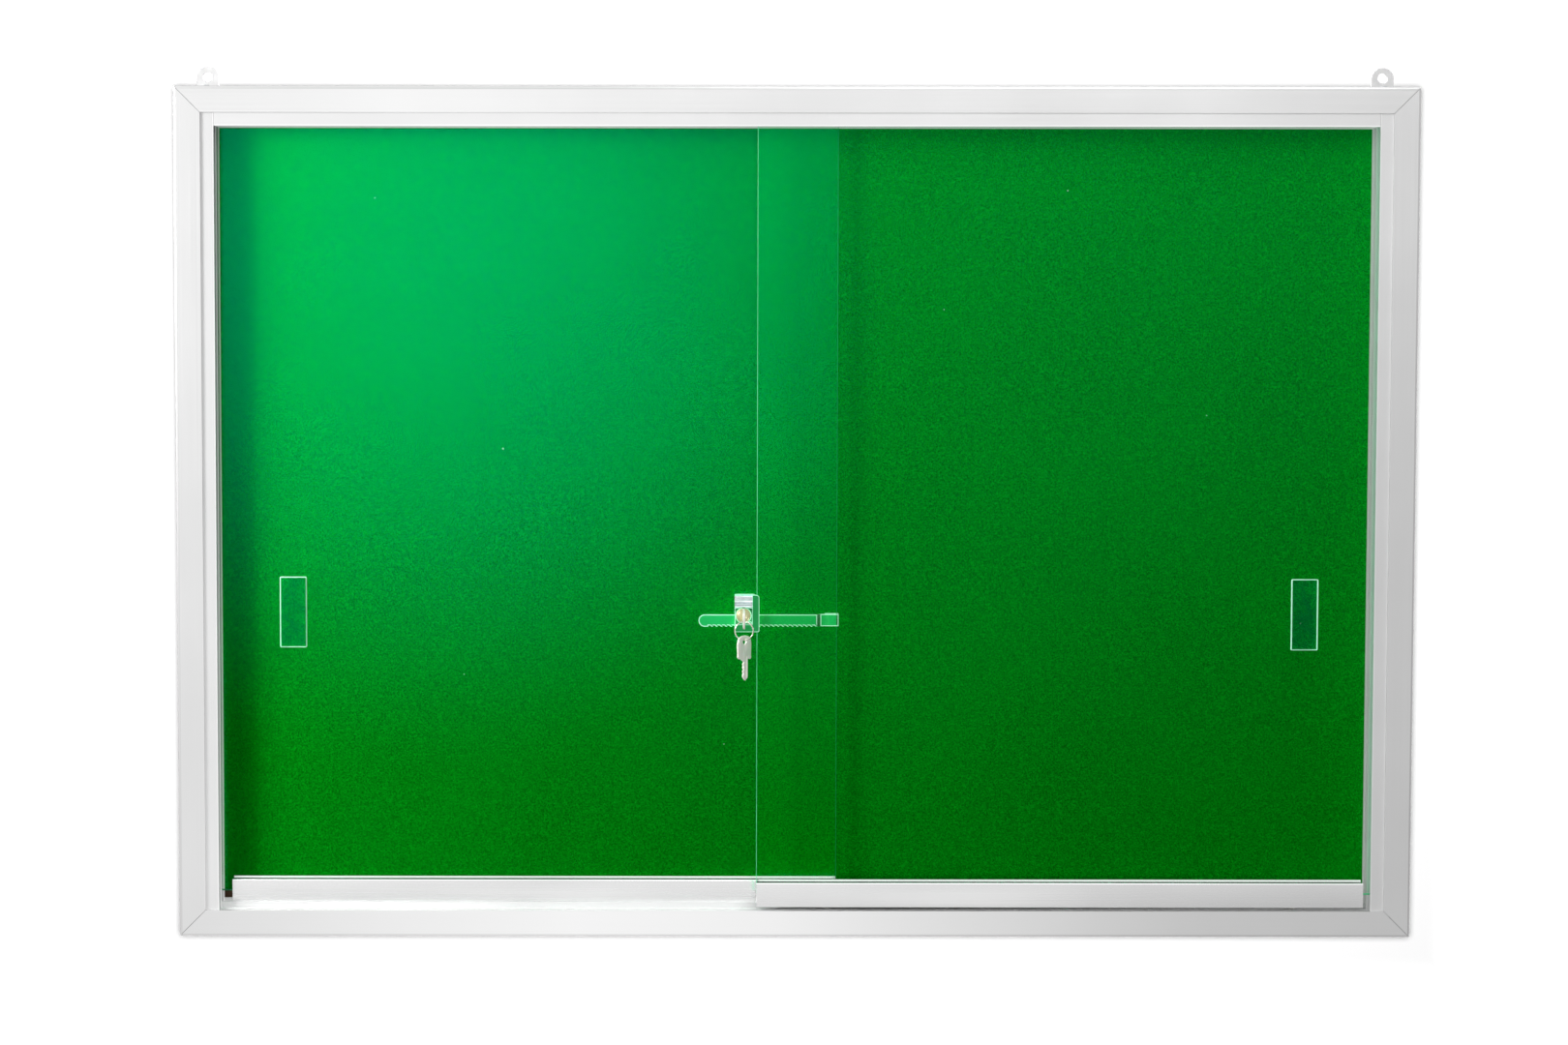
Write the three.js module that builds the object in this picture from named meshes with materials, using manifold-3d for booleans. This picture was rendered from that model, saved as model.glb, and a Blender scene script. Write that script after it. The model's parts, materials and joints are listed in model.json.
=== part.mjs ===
// A wall-hung lockable notice board: a mitred aluminium frame round a felt pinboard, behind
// two glass doors that slide past each other and are held shut by a ratchet lock.
// Millimetres, +Z up, +X to the right of someone who reads the board, -Y towards them.
// The origin is on the top rail's rear face, at the middle of its length and height.
// "forward" is a distance in front of the frame's rear face, and "inward" a distance from
// the frame's outer edge towards the middle of the board.
import * as THREE from "three";
import { mergeVertices } from "three/addons/utils/BufferGeometryUtils.js";
import Module from "manifold-3d";

const wasm = await Module();
wasm.setup();

// Clearances
const gap = 0.3;
const glazingGap = 0.1;
const runningGap = 0.1;
const holeGap = 0.3;
const overrun = 5;
const weld = 0.001;

// Frame: four mitred lengths of one hollow extrusion
const frameWidth = 1220;
const frameHeight = 840;
const frameDepth = 44;
const frameFace = 26;
const frameWall = 1.6;
const tubeWidth = 20;
const rearLip = 34;
const frameEdgeRadius = 2.5;
const frameCornerRadius = 3.5;
const mitreGap = 0.15;
const cleatArm = 48;

// Board
const panelThickness = 3;
const softBoardThickness = 8;
const feltThickness = 1;
const boardEdgeGap = 0.6;
const boardFootLeft = 40;
const boardFootRight = 33;

// Tracks and side channels
const channelWall = 1.4;
const rearFlange = 3;
const stripWidth = 13;
const channelSlotDepth = 7.5;
const topSlotDepth = 15.2;
const dividerHeight = 9.2;
const rearFlangeHeight = 9.8;
const ribHeight = 4.5;
const ribWidth = 3;

// Doors
const glassThickness = 5;
const doorOverlap = 80;
const rearDoorPlay = 5;
const frontDoorPlay = 1;
const topEngagement = 6;
const shoeInset = 13;
const shoeThickness = 9.6;
const shoeHeight = 24.5;
const shoeLift = 2.5;
const shoeWall = 1.5;
const shoeEdge = 0.7;
const shoeBackRise = 1.5;
const gasketWall = 0.6;
const gasketDrop = 0.4;

// Rollers
const rollerRadius = 6;
const rollerWidth = 4;
const rollerChamfer = 0.5;
const rollerInset = 70;
const axleRadius = 1.25;
const axleSeat = 0.7;

// Finger pulls
const pullWidth = 26.5;
const pullHeight = 70.5;
const pullThickness = 2.8;
const pullRadius = 1;
const rearPullInset = 75.5;
const frontPullInset = 74.5;
const handleDrop = 519;

// Ratchet bar
const barHeight = 12;
const barThickness = 1.3;
const barTip = 57.6;
const barDrop = 7.5;
const barSetback = 0.97;
const toothPitch = 4.7;
const toothDepth = 1.3;
const toothFlatShare = 0.4;
const toothSlopeShare = 0.7;
const hookFlat = 16.5;
const joggleRun = 3.6;
const hookLeg = 12;

// Lock body
const lockWidth = 17.3;
const lockLeft = 8.4;
const lockTop = 18.9;
const lockFoot = 17.8;
const lockBackWall = 0.8;
const lockPlate = 4.5;
const lockNose = 17.9;
const lockRebate = 4.3;
const lockEdgeRadius = 1;
const blockTop = 8.1;
const blockFoot = 9.5;
const stepTopShare = 0.74;
const stepReachShare = 0.55;
const rollFootShare = 0.8;
const rollReachShare = 0.3;
const grooveReachShare = 0.22;
const barrelRadius = 7.2;
const barrelProud = 1;
const plugRadius = 5.5;
const plugProud = 0.3;
const pawlThickness = 1.4;
const pawlWidth = 7;
const pawlLift = 1.6;
const pawlDrop = 0.7;
const pawlFoot = 1.3;
const noseTop = 1.4;
const noseBase = 2.4;
const crankPinRadius = 0.8;
const springWidth = 2.2;
const springThickness = 0.3;
const springRise = 0.9;
const springSpan = 5.6;
const studHead = 0.8;
const studDepth = 2.2;
const lockScrewRadius = 1.5;
const lockScrewInset = 2.3;
const lockRivetRadius = 0.9;
const lockRivetInset = 3.5;

// Keys and key ring
const keyThickness = 1.8;
const keyBowWidth = 18.5;
const keyBowLength = 22.6;
const keyBladeWidth = 6.6;
const keyBladeLength = 21.6;
const keyBladeOffset = 1.2;
const keyHoleWidth = 5;
const keyHoleHeight = 6;
const keyHoleInset = 5.7;
const keyNotch = 1.3;
const keyBites = 4;
const keyShares = {
  cheekShare: 0.25,
  waistShare: 0.86,
  leftWaistShare: 0.94,
  leftShoulderShare: 0.55,
  rightWaistShare: 0.96,
  rightShoulderShare: 0.8,
  crownWidthShare: 0.62,
  crownHeightShare: 0.7,
  tipShare: 1.2,
  shallowBiteShare: 0.55,
  biteFootShare: 0.15,
  biteMouthShare: 0.45,
};
const ringRadius = 8.95;
const wireRadius = 0.75;
const spareTurn = Math.PI / 4;

// Hangers
const hangerInset = 25.5;
const hangerWidth = 21.7;
const hangerHeight = 22.6;
const hangerPlate = 2;
const hangerFoot = 1.6;
const hangerFootDepth = 14;
const hangerFillet = 3;
const hangerHoleRadius = 5.2;
const hangerHoleDrop = 10;
const hangerScrewShare = 0.6;

// Screws
const screwRadius = 1.75;
const screwHeadRadius = 3.4;
const screwHeadHeight = 1.9;
const screwCrownShare = 0.7;
const screwLength = 9;
const channelScrewInset = 90;

// Places that follow from the sizes above
const halfWidth = frameWidth / 2;
const topZ = frameFace / 2;
const bottomZ = topZ - frameHeight;
const stripEnd = frameFace + stripWidth;
const seat = tubeWidth + gap;

const panelBack = frameWall + gap;
const panelFront = panelBack + panelThickness;
const softBoardBack = panelFront + gap;
const softBoardFront = softBoardBack + softBoardThickness;
const feltBack = softBoardFront + gap;
const feltFront = feltBack + feltThickness;

const channelBack = feltFront + gap;
const rearSlotBack = channelBack + rearFlange;
const channelFront = frameDepth - frameWall - gap;
const frontSlotFront = channelFront - channelWall;
const slotWidth = (frontSlotFront - rearSlotBack - channelWall) / 2;
const dividerBack = rearSlotBack + slotWidth;
const dividerFront = dividerBack + channelWall;
const rearGlassMiddle = rearSlotBack + slotWidth / 2;
const frontGlassMiddle = dividerFront + slotWidth / 2;

const trackFloor = seat + channelWall;
const ribTop = trackFloor + ribHeight;
const rollerInward = ribTop + gap + rollerRadius;
const shoeBottom = frameFace + shoeLift;
const shoeTop = shoeBottom + shoeHeight;
const shoeSlotWidth = glassThickness + 2 * (gasketWall + 2 * glazingGap);
const shoeWebTop = rollerInward + rollerRadius + gap + shoeWall;
const glassBottom = shoeWebTop + glazingGap + gasketWall + glazingGap;
const glassTop = stripEnd - topEngagement;
const slotFloorX = halfWidth - stripEnd + channelSlotDepth;
const rearDoorLeft = rearDoorPlay - slotFloorX;
const frontDoorRight = slotFloorX - frontDoorPlay;
const doorWidth = (frontDoorRight - rearDoorLeft + doorOverlap) / 2;
const rearDoorRight = rearDoorLeft + doorWidth;
const frontDoorLeft = frontDoorRight - doorWidth;
const rollerGauge = rollerWidth + 2 * gap;

const handleZ = topZ - handleDrop;
const rearGlassFront = rearGlassMiddle + glassThickness / 2;
const rearGlassBack = rearGlassMiddle - glassThickness / 2;
const frontGlassFront = frontGlassMiddle + glassThickness / 2;
const frontGlassBack = frontGlassMiddle - glassThickness / 2;

const lockX = frontDoorLeft - gap - lockRebate - lockWidth + lockLeft;
const barMiddleZ = handleZ - barDrop;
const barTop = barMiddleZ + barHeight / 2;
const barFoot = barMiddleZ - barHeight / 2;
const barFront = frontGlassBack - barSetback;
const barBack = barFront - barThickness;
const lockBack = barBack - gap - lockBackWall;
const lockSlotFront = barFront + gap;
const lockPlateFront = lockSlotFront + lockPlate;
const lockFront = lockPlateFront + lockNose - lockPlate;
const toothGrid = lockX - noseBase / 2 - holeGap;

// Solids
function solidOf(geometry) {
  const bare = geometry.clone();
  bare.deleteAttribute("normal");
  bare.deleteAttribute("uv");
  const merged = mergeVertices(bare, weld);
  return new wasm.Manifold(
    new wasm.Mesh({
      numProp: 3,
      vertProperties: new Float32Array(merged.attributes.position.array),
      triVerts: new Uint32Array(merged.index.array),
    }),
  );
}

function geometryOf(solid) {
  const mesh = solid.getMesh();
  const positions = new THREE.BufferAttribute(new Float32Array(mesh.vertProperties), mesh.numProp);
  const geometry = new THREE.BufferGeometry();
  geometry.setAttribute("position", positions);
  geometry.setIndex(new THREE.BufferAttribute(new Uint32Array(mesh.triVerts), 1));
  const faceted = geometry.toNonIndexed();
  faceted.computeVertexNormals();
  return faceted;
}

// An outline of points [a, b] or, where a corner is rounded, [a, b, radius].
function outline(points) {
  const shape = new THREE.Shape();
  const count = points.length;
  points.forEach((point, i) => {
    const corner = new THREE.Vector2(point[0], point[1]);
    const before = new THREE.Vector2(...points[(i + count - 1) % count].slice(0, 2));
    const after = new THREE.Vector2(...points[(i + 1) % count].slice(0, 2));
    const radius = point[2] || 0;
    const start = corner.clone().add(before.sub(corner).setLength(radius));
    const end = corner.clone().add(after.sub(corner).setLength(radius));
    if (i === 0) shape.moveTo(start.x, start.y);
    else shape.lineTo(start.x, start.y);
    if (radius > 0) shape.quadraticCurveTo(corner.x, corner.y, end.x, end.y);
  });
  shape.closePath();
  return shape;
}

function extrude(shape, length, curveSegments) {
  return new THREE.ExtrudeGeometry(shape, { depth: length, bevelEnabled: false, curveSegments });
}

// A prism along X of an outline in (forward, z).
function alongX(points, from, to) {
  const turned = points.map(([forward, z, radius]) => [-z, -forward, radius]);
  return solidOf(extrude(outline(turned), to - from, 4).rotateY(Math.PI / 2).translate(from, 0, 0));
}

// A prism along Z of an outline in (x, forward).
function alongZ(points, from, to) {
  const turned = points.map(([x, forward, radius]) => [x, -forward, radius]);
  return solidOf(extrude(outline(turned), to - from, 4).translate(0, 0, from));
}

// A prism from back to front of a shape in (x, z).
function plate(shape, back, front, curveSegments = 6) {
  const prism = extrude(shape, front - back, curveSegments).rotateX(Math.PI / 2);
  return solidOf(prism.translate(0, -back, 0));
}

function box(left, right, back, front, low, high) {
  const block = new THREE.BoxGeometry(right - left, front - back, high - low);
  return solidOf(block.translate((left + right) / 2, -(front + back) / 2, (low + high) / 2));
}

// A round bar from back to front.
function roundBar(radius, x, z, back, front, segments = 32) {
  const bar = new THREE.CylinderGeometry(radius, radius, front - back, segments);
  return solidOf(bar.translate(x, -(front + back) / 2, z));
}

const part = new THREE.Group();

// Finishes
const finishes = {
  anodised: new THREE.MeshStandardMaterial({ color: 0xd9dbdc, roughness: 0.42, metalness: 0.9 }),
  innerStrip: new THREE.MeshStandardMaterial({ color: 0xe3e4e5, roughness: 0.4, metalness: 0.9 }),
  felt: new THREE.MeshStandardMaterial({ color: 0x007a2e, roughness: 1, metalness: 0 }),
  fibreboard: new THREE.MeshStandardMaterial({ color: 0xb59a73, roughness: 0.95, metalness: 0 }),
  hardboard: new THREE.MeshStandardMaterial({ color: 0x6b4a30, roughness: 0.8, metalness: 0 }),
  glass: new THREE.MeshStandardMaterial({
    color: 0xd8f2e4,
    roughness: 0.03,
    metalness: 0,
    transparent: true,
    opacity: 0.25,
  }),
  acrylic: new THREE.MeshStandardMaterial({
    color: 0xe4f7ef,
    roughness: 0.06,
    metalness: 0,
    transparent: true,
    opacity: 0.35,
  }),
  rubber: new THREE.MeshStandardMaterial({ color: 0x8c9490, roughness: 0.7, metalness: 0 }),
  nylon: new THREE.MeshStandardMaterial({ color: 0xe8e6de, roughness: 0.5, metalness: 0 }),
  steel: new THREE.MeshStandardMaterial({ color: 0xb9bcc0, roughness: 0.3, metalness: 1 }),
  chrome: new THREE.MeshStandardMaterial({ color: 0xdfe3e6, roughness: 0.08, metalness: 1 }),
  brass: new THREE.MeshStandardMaterial({ color: 0xc9b06a, roughness: 0.3, metalness: 1 }),
  nickel: new THREE.MeshStandardMaterial({ color: 0xc6c4ba, roughness: 0.32, metalness: 1 }),
  enamel: new THREE.MeshStandardMaterial({ color: 0xe9e9e9, roughness: 0.45, metalness: 0 }),
  castAlloy: new THREE.MeshStandardMaterial({ color: 0x9c9ea0, roughness: 0.6, metalness: 0.8 }),
};

function add(parent, name, solid, finish) {
  const mesh = new THREE.Mesh(geometryOf(solid), finishes[finish]);
  mesh.name = name;
  parent.add(mesh);
  return mesh;
}

// Section outlines, in (inward, forward)
const frameSection = [
  [0, 0],
  [0, frameDepth, frameEdgeRadius],
  [frameFace, frameDepth],
  [frameFace, frameDepth - frameWall],
  [tubeWidth, frameDepth - frameWall],
  [tubeWidth, frameWall],
  [rearLip, frameWall],
  [rearLip, 0],
];
const frameBore = [
  [frameWall, frameWall],
  [frameWall, frameDepth - frameWall],
  [tubeWidth - frameWall, frameDepth - frameWall],
  [tubeWidth - frameWall, frameWall],
];

// A double channel for two panes: open feet towards the frame, and a floor slotDepth back
// from the flanges' edges.
function channelSection(slotDepth) {
  const floor = stripEnd - slotDepth;
  return [
    [seat, channelBack],
    [stripEnd, channelBack],
    [stripEnd, rearSlotBack],
    [floor, rearSlotBack],
    [floor, dividerBack],
    [stripEnd, dividerBack],
    [stripEnd, dividerFront],
    [floor, dividerFront],
    [floor, frontSlotFront],
    [stripEnd, frontSlotFront],
    [stripEnd, channelFront],
    [seat, channelFront],
    [seat, frontSlotFront],
    [floor - channelWall, frontSlotFront],
    [floor - channelWall, rearSlotBack],
    [seat, rearSlotBack],
  ];
}

function rib(middle) {
  return [
    [trackFloor, middle - ribWidth / 2],
    [ribTop, middle - ribWidth / 2],
    [ribTop, middle + ribWidth / 2],
    [trackFloor, middle + ribWidth / 2],
  ];
}

const bottomTrackSection = [
  [seat, channelBack],
  [trackFloor + rearFlangeHeight, channelBack],
  [trackFloor + rearFlangeHeight, rearSlotBack],
  [trackFloor, rearSlotBack],
  ...rib(rearGlassMiddle),
  [trackFloor, dividerBack],
  [trackFloor + dividerHeight, dividerBack],
  [trackFloor + dividerHeight, dividerFront],
  [trackFloor, dividerFront],
  ...rib(frontGlassMiddle),
  [trackFloor, channelFront],
  [seat, channelFront],
];

// Lengths of a section that run along one side of the board. Side is -1 for the left or the
// bottom, and 1 for the right or the top.
function upright(section, side, from, to) {
  return alongZ(
    section.map(([inward, forward, radius]) => [side * (halfWidth - inward), forward, radius]),
    from,
    to,
  );
}

function level(section, side, from, to) {
  const z = (inward) => (side > 0 ? topZ - inward : bottomZ + inward);
  return alongX(
    section.map(([inward, forward, radius]) => [forward, z(inward), radius]),
    from,
    to,
  );
}

// Frame members: each is the hollow section, cut at 45 degrees and rounded at the corners
const middleZ = (topZ + bottomZ) / 2;
const roundedBlock = plate(
  outline([
    [-halfWidth, bottomZ, frameCornerRadius],
    [halfWidth, bottomZ, frameCornerRadius],
    [halfWidth, topZ, frameCornerRadius],
    [-halfWidth, topZ, frameCornerRadius],
  ]),
  -overrun,
  frameDepth + overrun,
);

// The share of the board that one member takes, between the diagonals of its two corners.
function mitreBlock(vertical, side) {
  const deep = Math.min(frameWidth, frameHeight) / 4;
  const half = vertical ? frameHeight / 2 : frameWidth / 2;
  const out = (distance) => {
    const along = half - distance - mitreGap * Math.SQRT2;
    const across = vertical ? halfWidth - distance : frameHeight / 2 - distance;
    return [along, side * across];
  };
  const corners = [-overrun, deep].map(out);
  const points = [
    [-corners[0][0], corners[0][1]],
    [corners[0][0], corners[0][1]],
    [corners[1][0], corners[1][1]],
    [-corners[1][0], corners[1][1]],
  ];
  const placed = points.map(([along, across]) =>
    vertical ? [across, middleZ + along] : [along, middleZ + across],
  );
  return plate(outline(placed), -overrun, frameDepth + overrun);
}

function frameMember(vertical, side) {
  const run = vertical ? upright : level;
  const from = vertical ? bottomZ - overrun : -halfWidth - overrun;
  const to = vertical ? topZ + overrun : halfWidth + overrun;
  const bore = run(frameBore, side, from - overrun, to + overrun);
  const tube = run(frameSection, side, from, to).subtract(bore);
  return tube.intersect(mitreBlock(vertical, side)).intersect(roundedBlock);
}

// Screws: a dished head on a plain shank, drawn along +Z with the head's seat at zero
function screwSolid() {
  const profile = [
    [0, -screwLength],
    [screwRadius, -screwLength + screwRadius],
    [screwRadius, 0],
    [screwHeadRadius, 0],
    [screwHeadRadius, screwHeadHeight / 2],
    [screwHeadRadius * screwCrownShare, screwHeadHeight],
    [0, screwHeadHeight],
  ];
  return new THREE.LatheGeometry(
    profile.map(([r, h]) => new THREE.Vector2(r, h)),
    16,
  ).rotateX(Math.PI / 2);
}

function screwHole(length) {
  const hole = new THREE.CylinderGeometry(screwRadius + holeGap, screwRadius + holeGap, length, 16);
  return hole.rotateX(Math.PI / 2);
}

const hangerX = halfWidth - hangerInset;
const hangerScrewForward = hangerFootDepth * hangerScrewShare;
const hangerScrewHoles = [-1, 1].map((side) =>
  solidOf(screwHole(2 * (screwLength + overrun)).translate(side * hangerX, -hangerScrewForward, topZ)),
);
const channelFloor = stripEnd - channelSlotDepth;
const channelScrewPlaces = [-1, 1].flatMap((side) =>
  [1, -1].map((end) => ({
    side,
    end,
    forward: side < 0 ? frontGlassMiddle : rearGlassMiddle,
    z: end > 0 ? topZ - channelScrewInset : bottomZ + channelScrewInset,
  })),
);
const channelScrewHoles = channelScrewPlaces.map(({ side, forward, z }) =>
  solidOf(
    screwHole(2 * (channelFloor - tubeWidth + frameWall + gap))
      .rotateY(Math.PI / 2)
      .translate(side * (halfWidth - channelFloor), -forward, z),
  ),
);

function cutBy(solid, cutters) {
  return cutters.reduce((left, cutter) => left.subtract(cutter), solid);
}

const frame = new THREE.Group();
part.add(frame);
add(frame, "top_rail", cutBy(frameMember(false, 1), hangerScrewHoles), "anodised");
add(frame, "bottom_rail", frameMember(false, -1), "anodised");
add(frame, "left_stile", cutBy(frameMember(true, -1), channelScrewHoles), "anodised");
add(frame, "right_stile", cutBy(frameMember(true, 1), channelScrewHoles), "anodised");

// Corner cleats: die-cast angles pushed into the tubes' ends
const cleatOuter = frameWall + gap;
const cleatInner = tubeWidth - frameWall - gap;
function cleat(side, end) {
  const x = (inward) => side * (halfWidth - inward);
  const z = (inward) => (end > 0 ? topZ - inward : bottomZ + inward);
  const shape = outline([
    [x(cleatOuter), z(cleatOuter), frameCornerRadius],
    [x(cleatArm), z(cleatOuter)],
    [x(cleatArm), z(cleatInner)],
    [x(cleatInner), z(cleatInner)],
    [x(cleatInner), z(cleatArm)],
    [x(cleatOuter), z(cleatArm)],
  ]);
  return cutBy(plate(shape, cleatOuter, frameDepth - cleatOuter), end > 0 ? hangerScrewHoles : []);
}
for (const [endName, end] of [["top", 1], ["bottom", -1]])
  for (const [sideName, side] of [["left", -1], ["right", 1]])
    add(frame, `corner_cleat_${endName}_${sideName}`, cleat(side, end), "castAlloy");

// Board: hardboard back on the frame's rear lip, fibre pinboard and its felt face. The
// pinboard is cut a little out of square along its foot.
const boardEdge = tubeWidth + boardEdgeGap;
const boardOutline = (footLeft, footRight) =>
  outline([
    [-halfWidth + boardEdge, bottomZ + footLeft],
    [halfWidth - boardEdge, bottomZ + footRight],
    [halfWidth - boardEdge, topZ - boardEdge],
    [-halfWidth + boardEdge, topZ - boardEdge],
  ]);
const pinboardOutline = boardOutline(boardFootLeft, boardFootRight);
add(part, "back_panel", plate(boardOutline(boardEdge, boardEdge), panelBack, panelFront), "hardboard");
add(part, "soft_board", plate(pinboardOutline, softBoardBack, softBoardFront), "fibreboard");
add(part, "felt_cover", plate(pinboardOutline, feltBack, feltFront), "felt");

// Side channels run the whole height, and the tracks fit between them
const sideSection = channelSection(channelSlotDepth);
const trackEnd = halfWidth - stripEnd - gap;
for (const [name, side] of [["left_channel", -1], ["right_channel", 1]])
  add(
    part,
    name,
    cutBy(upright(sideSection, side, bottomZ + seat, topZ - seat), channelScrewHoles),
    "innerStrip",
  );
add(part, "top_track", level(channelSection(topSlotDepth), 1, -trackEnd, trackEnd), "innerStrip");
add(part, "bottom_track", level(bottomTrackSection, -1, -trackEnd, trackEnd), "innerStrip");
channelScrewPlaces.forEach(({ side, end, forward, z }) => {
  const name = `channel_screw_${side < 0 ? "left" : "right"}_${end > 0 ? "top" : "bottom"}`;
  const mesh = add(part, name, solidOf(screwSolid()), "steel");
  mesh.rotation.y = (-side * Math.PI) / 2;
  mesh.position.set(side * (halfWidth - channelFloor - gap), -forward, z);
});

// Doors: a frameless pane in a rubber gasket, in an aluminium shoe that runs on two rollers
const shoeSection = (middle) => {
  const out = (forward) => middle + forward;
  const half = shoeThickness / 2;
  const slot = shoeSlotWidth / 2;
  const web = shoeWebTop - shoeWall;
  return [
    [out(-half), bottomZ + shoeBottom],
    [out(-half), bottomZ + shoeTop + shoeBackRise, shoeEdge],
    [out(-slot), bottomZ + shoeTop + shoeBackRise],
    [out(-slot), bottomZ + shoeWebTop],
    [out(slot), bottomZ + shoeWebTop],
    [out(slot), bottomZ + shoeTop],
    [out(half), bottomZ + shoeTop, shoeEdge],
    [out(half), bottomZ + shoeBottom],
    [out(slot), bottomZ + shoeBottom],
    [out(slot), bottomZ + web],
    [out(-slot), bottomZ + web],
    [out(-slot), bottomZ + shoeBottom],
  ];
};

const gasketSection = (middle) => {
  const outer = glassThickness / 2 + glazingGap + gasketWall;
  const inner = glassThickness / 2 + glazingGap;
  const foot = bottomZ + shoeWebTop + glazingGap;
  const top = bottomZ + shoeTop - gasketDrop;
  return [
    [middle - outer, foot],
    [middle - outer, top],
    [middle - inner, top],
    [middle - inner, foot + gasketWall],
    [middle + inner, foot + gasketWall],
    [middle + inner, top],
    [middle + outer, top],
    [middle + outer, foot],
  ];
};

function rollerSolid() {
  const half = rollerWidth / 2;
  const bore = axleRadius + runningGap;
  const profile = [
    [bore, -half],
    [rollerRadius - rollerChamfer, -half],
    [rollerRadius, -half + rollerChamfer],
    [rollerRadius, half - rollerChamfer],
    [rollerRadius - rollerChamfer, half],
    [bore, half],
    [bore, -half],
  ];
  return solidOf(
    new THREE.LatheGeometry(
      profile.map(([r, h]) => new THREE.Vector2(r, h)),
      32,
    ),
  );
}

function pullSolid(back) {
  const half = pullWidth / 2;
  const shape = outline([
    [-half, -pullHeight / 2, pullRadius],
    [half, -pullHeight / 2, pullRadius],
    [half, pullHeight / 2, pullRadius],
    [-half, pullHeight / 2, pullRadius],
  ]);
  return plate(shape, back, back + pullThickness);
}

function door(label, left, middle, pullX, shoeLeft, shoeRight) {
  const group = new THREE.Group();
  part.add(group);
  const front = middle + glassThickness / 2;
  const back = middle - glassThickness / 2;
  const right = left + doorWidth;
  const pane = box(left, right, back, front, bottomZ + glassBottom, topZ - glassTop);
  add(group, `${label}_glass`, pane, "glass");
  const axleZ = bottomZ + rollerInward;
  const reach = shoeSlotWidth / 2 + axleSeat;
  const places = [["left", shoeLeft + rollerInset], ["right", shoeRight - rollerInset]];
  const seatReach = reach + glazingGap;
  const seats = places.map(([, x]) =>
    roundBar(axleRadius + glazingGap, x, axleZ, middle - seatReach, middle + seatReach, 16),
  );
  const shoe = cutBy(alongX(shoeSection(middle), shoeLeft, shoeRight), seats);
  add(group, `${label}_shoe`, shoe, "anodised");
  add(group, `${label}_gasket`, alongX(gasketSection(middle), shoeLeft, shoeRight), "rubber");
  for (const [sideName, x] of places) {
    const axle = roundBar(axleRadius, x, axleZ, middle - reach, middle + reach, 16);
    add(group, `${label}_axle_${sideName}`, axle, "steel");
    const roller = add(group, `${label}_roller_${sideName}`, rollerSolid(), "nylon");
    roller.position.set(x, -middle, axleZ);
  }
  const pull = add(group, `${label}_finger_pull`, pullSolid(front + gap), "acrylic");
  pull.position.set(pullX, 0, handleZ);
}
const rearPullX = rearDoorLeft + rearPullInset;
const frontPullX = frontDoorRight - frontPullInset;
door("rear", rearDoorLeft, rearGlassMiddle, rearPullX, rearDoorLeft + shoeInset, rearDoorRight);
door("front", frontDoorLeft, frontGlassMiddle, frontPullX, frontDoorLeft, frontDoorRight - shoeInset);

// Ratchet bar: a toothed strip hooked round the rear pane's edge
const hookInner = rearDoorRight + gap;
const hookOuter = hookInner + barThickness;
const hookFront = rearGlassFront + gap + barThickness;
const hookBack = rearGlassBack - gap - barThickness;
const flatStart = rearDoorRight - hookFlat;
const joggleStart = flatStart - joggleRun;
const barLeft = frontDoorLeft - barTip;

function barStrip() {
  const round = barHeight / 2;
  const shape = new THREE.Shape();
  shape.moveTo(joggleStart, barTop);
  shape.lineTo(barLeft + round, barTop);
  shape.absarc(barLeft + round, barMiddleZ, round, Math.PI / 2, 1.5 * Math.PI, false);
  const first = Math.ceil((barLeft + 1.5 * round - toothGrid) / toothPitch);
  for (let x = toothGrid + first * toothPitch; x + toothPitch < joggleStart; x += toothPitch) {
    shape.lineTo(x, barFoot);
    shape.lineTo(x, barFoot + toothDepth);
    shape.lineTo(x + toothFlatShare * toothPitch, barFoot + toothDepth);
    shape.lineTo(x + toothSlopeShare * toothPitch, barFoot);
  }
  shape.lineTo(joggleStart, barFoot);
  shape.closePath();
  return plate(shape, barBack, barFront, 10);
}

function barHook() {
  const leg = hookInner - hookLeg;
  return alongZ(
    [
      [joggleStart - barThickness, barFront],
      [joggleStart, barFront],
      [flatStart, hookFront],
      [hookOuter, hookFront, barThickness / 2],
      [hookOuter, hookBack, barThickness / 2],
      [leg, hookBack],
      [leg, hookBack + barThickness],
      [hookInner, hookBack + barThickness],
      [hookInner, hookFront - barThickness],
      [flatStart, hookFront - barThickness],
      [joggleStart, barBack],
      [joggleStart - barThickness, barBack],
    ],
    barFoot,
    barTop,
  );
}
add(part, "lock_bar", barStrip().add(barHook()), "chrome");

// Lock, drawn round the cylinder's axis
const lock = new THREE.Group();
lock.position.set(lockX, 0, handleZ);
part.add(lock);

const lockRight = frontDoorLeft - gap - lockX;
const nose = lockWidth - lockLeft;
const slotTop = -barDrop + barHeight / 2 + gap;
const slotFoot = -barDrop - barHeight / 2 - gap;
const pawlTop = slotFoot + gap - pawlDrop;
const pawlBase = pawlTop - pawlFoot;
const cavityFoot = pawlBase - gap - springRise - gap;
const pawlBack = lockSlotFront + gap;
const pawlFront = pawlBack + pawlThickness;
const cavityFront = pawlFront + gap;
const crank = pawlLift / 2;
const crankSlot = crankPinRadius + gap;
const pawlHead = crankSlot + channelWall;
const barrelBack = cavityFront + gap;
const barrelFront = lockFront + barrelProud;
const plugFront = barrelFront + plugProud;
const boreRadius = barrelRadius + gap;

const lockScrewX = nose - lockScrewInset;
const lockScrewZ = lockScrewInset - blockFoot;
const lockRivetX = lockRight - lockRivetInset;
const lockRivetZ = lockRivetInset - lockFoot;

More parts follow.
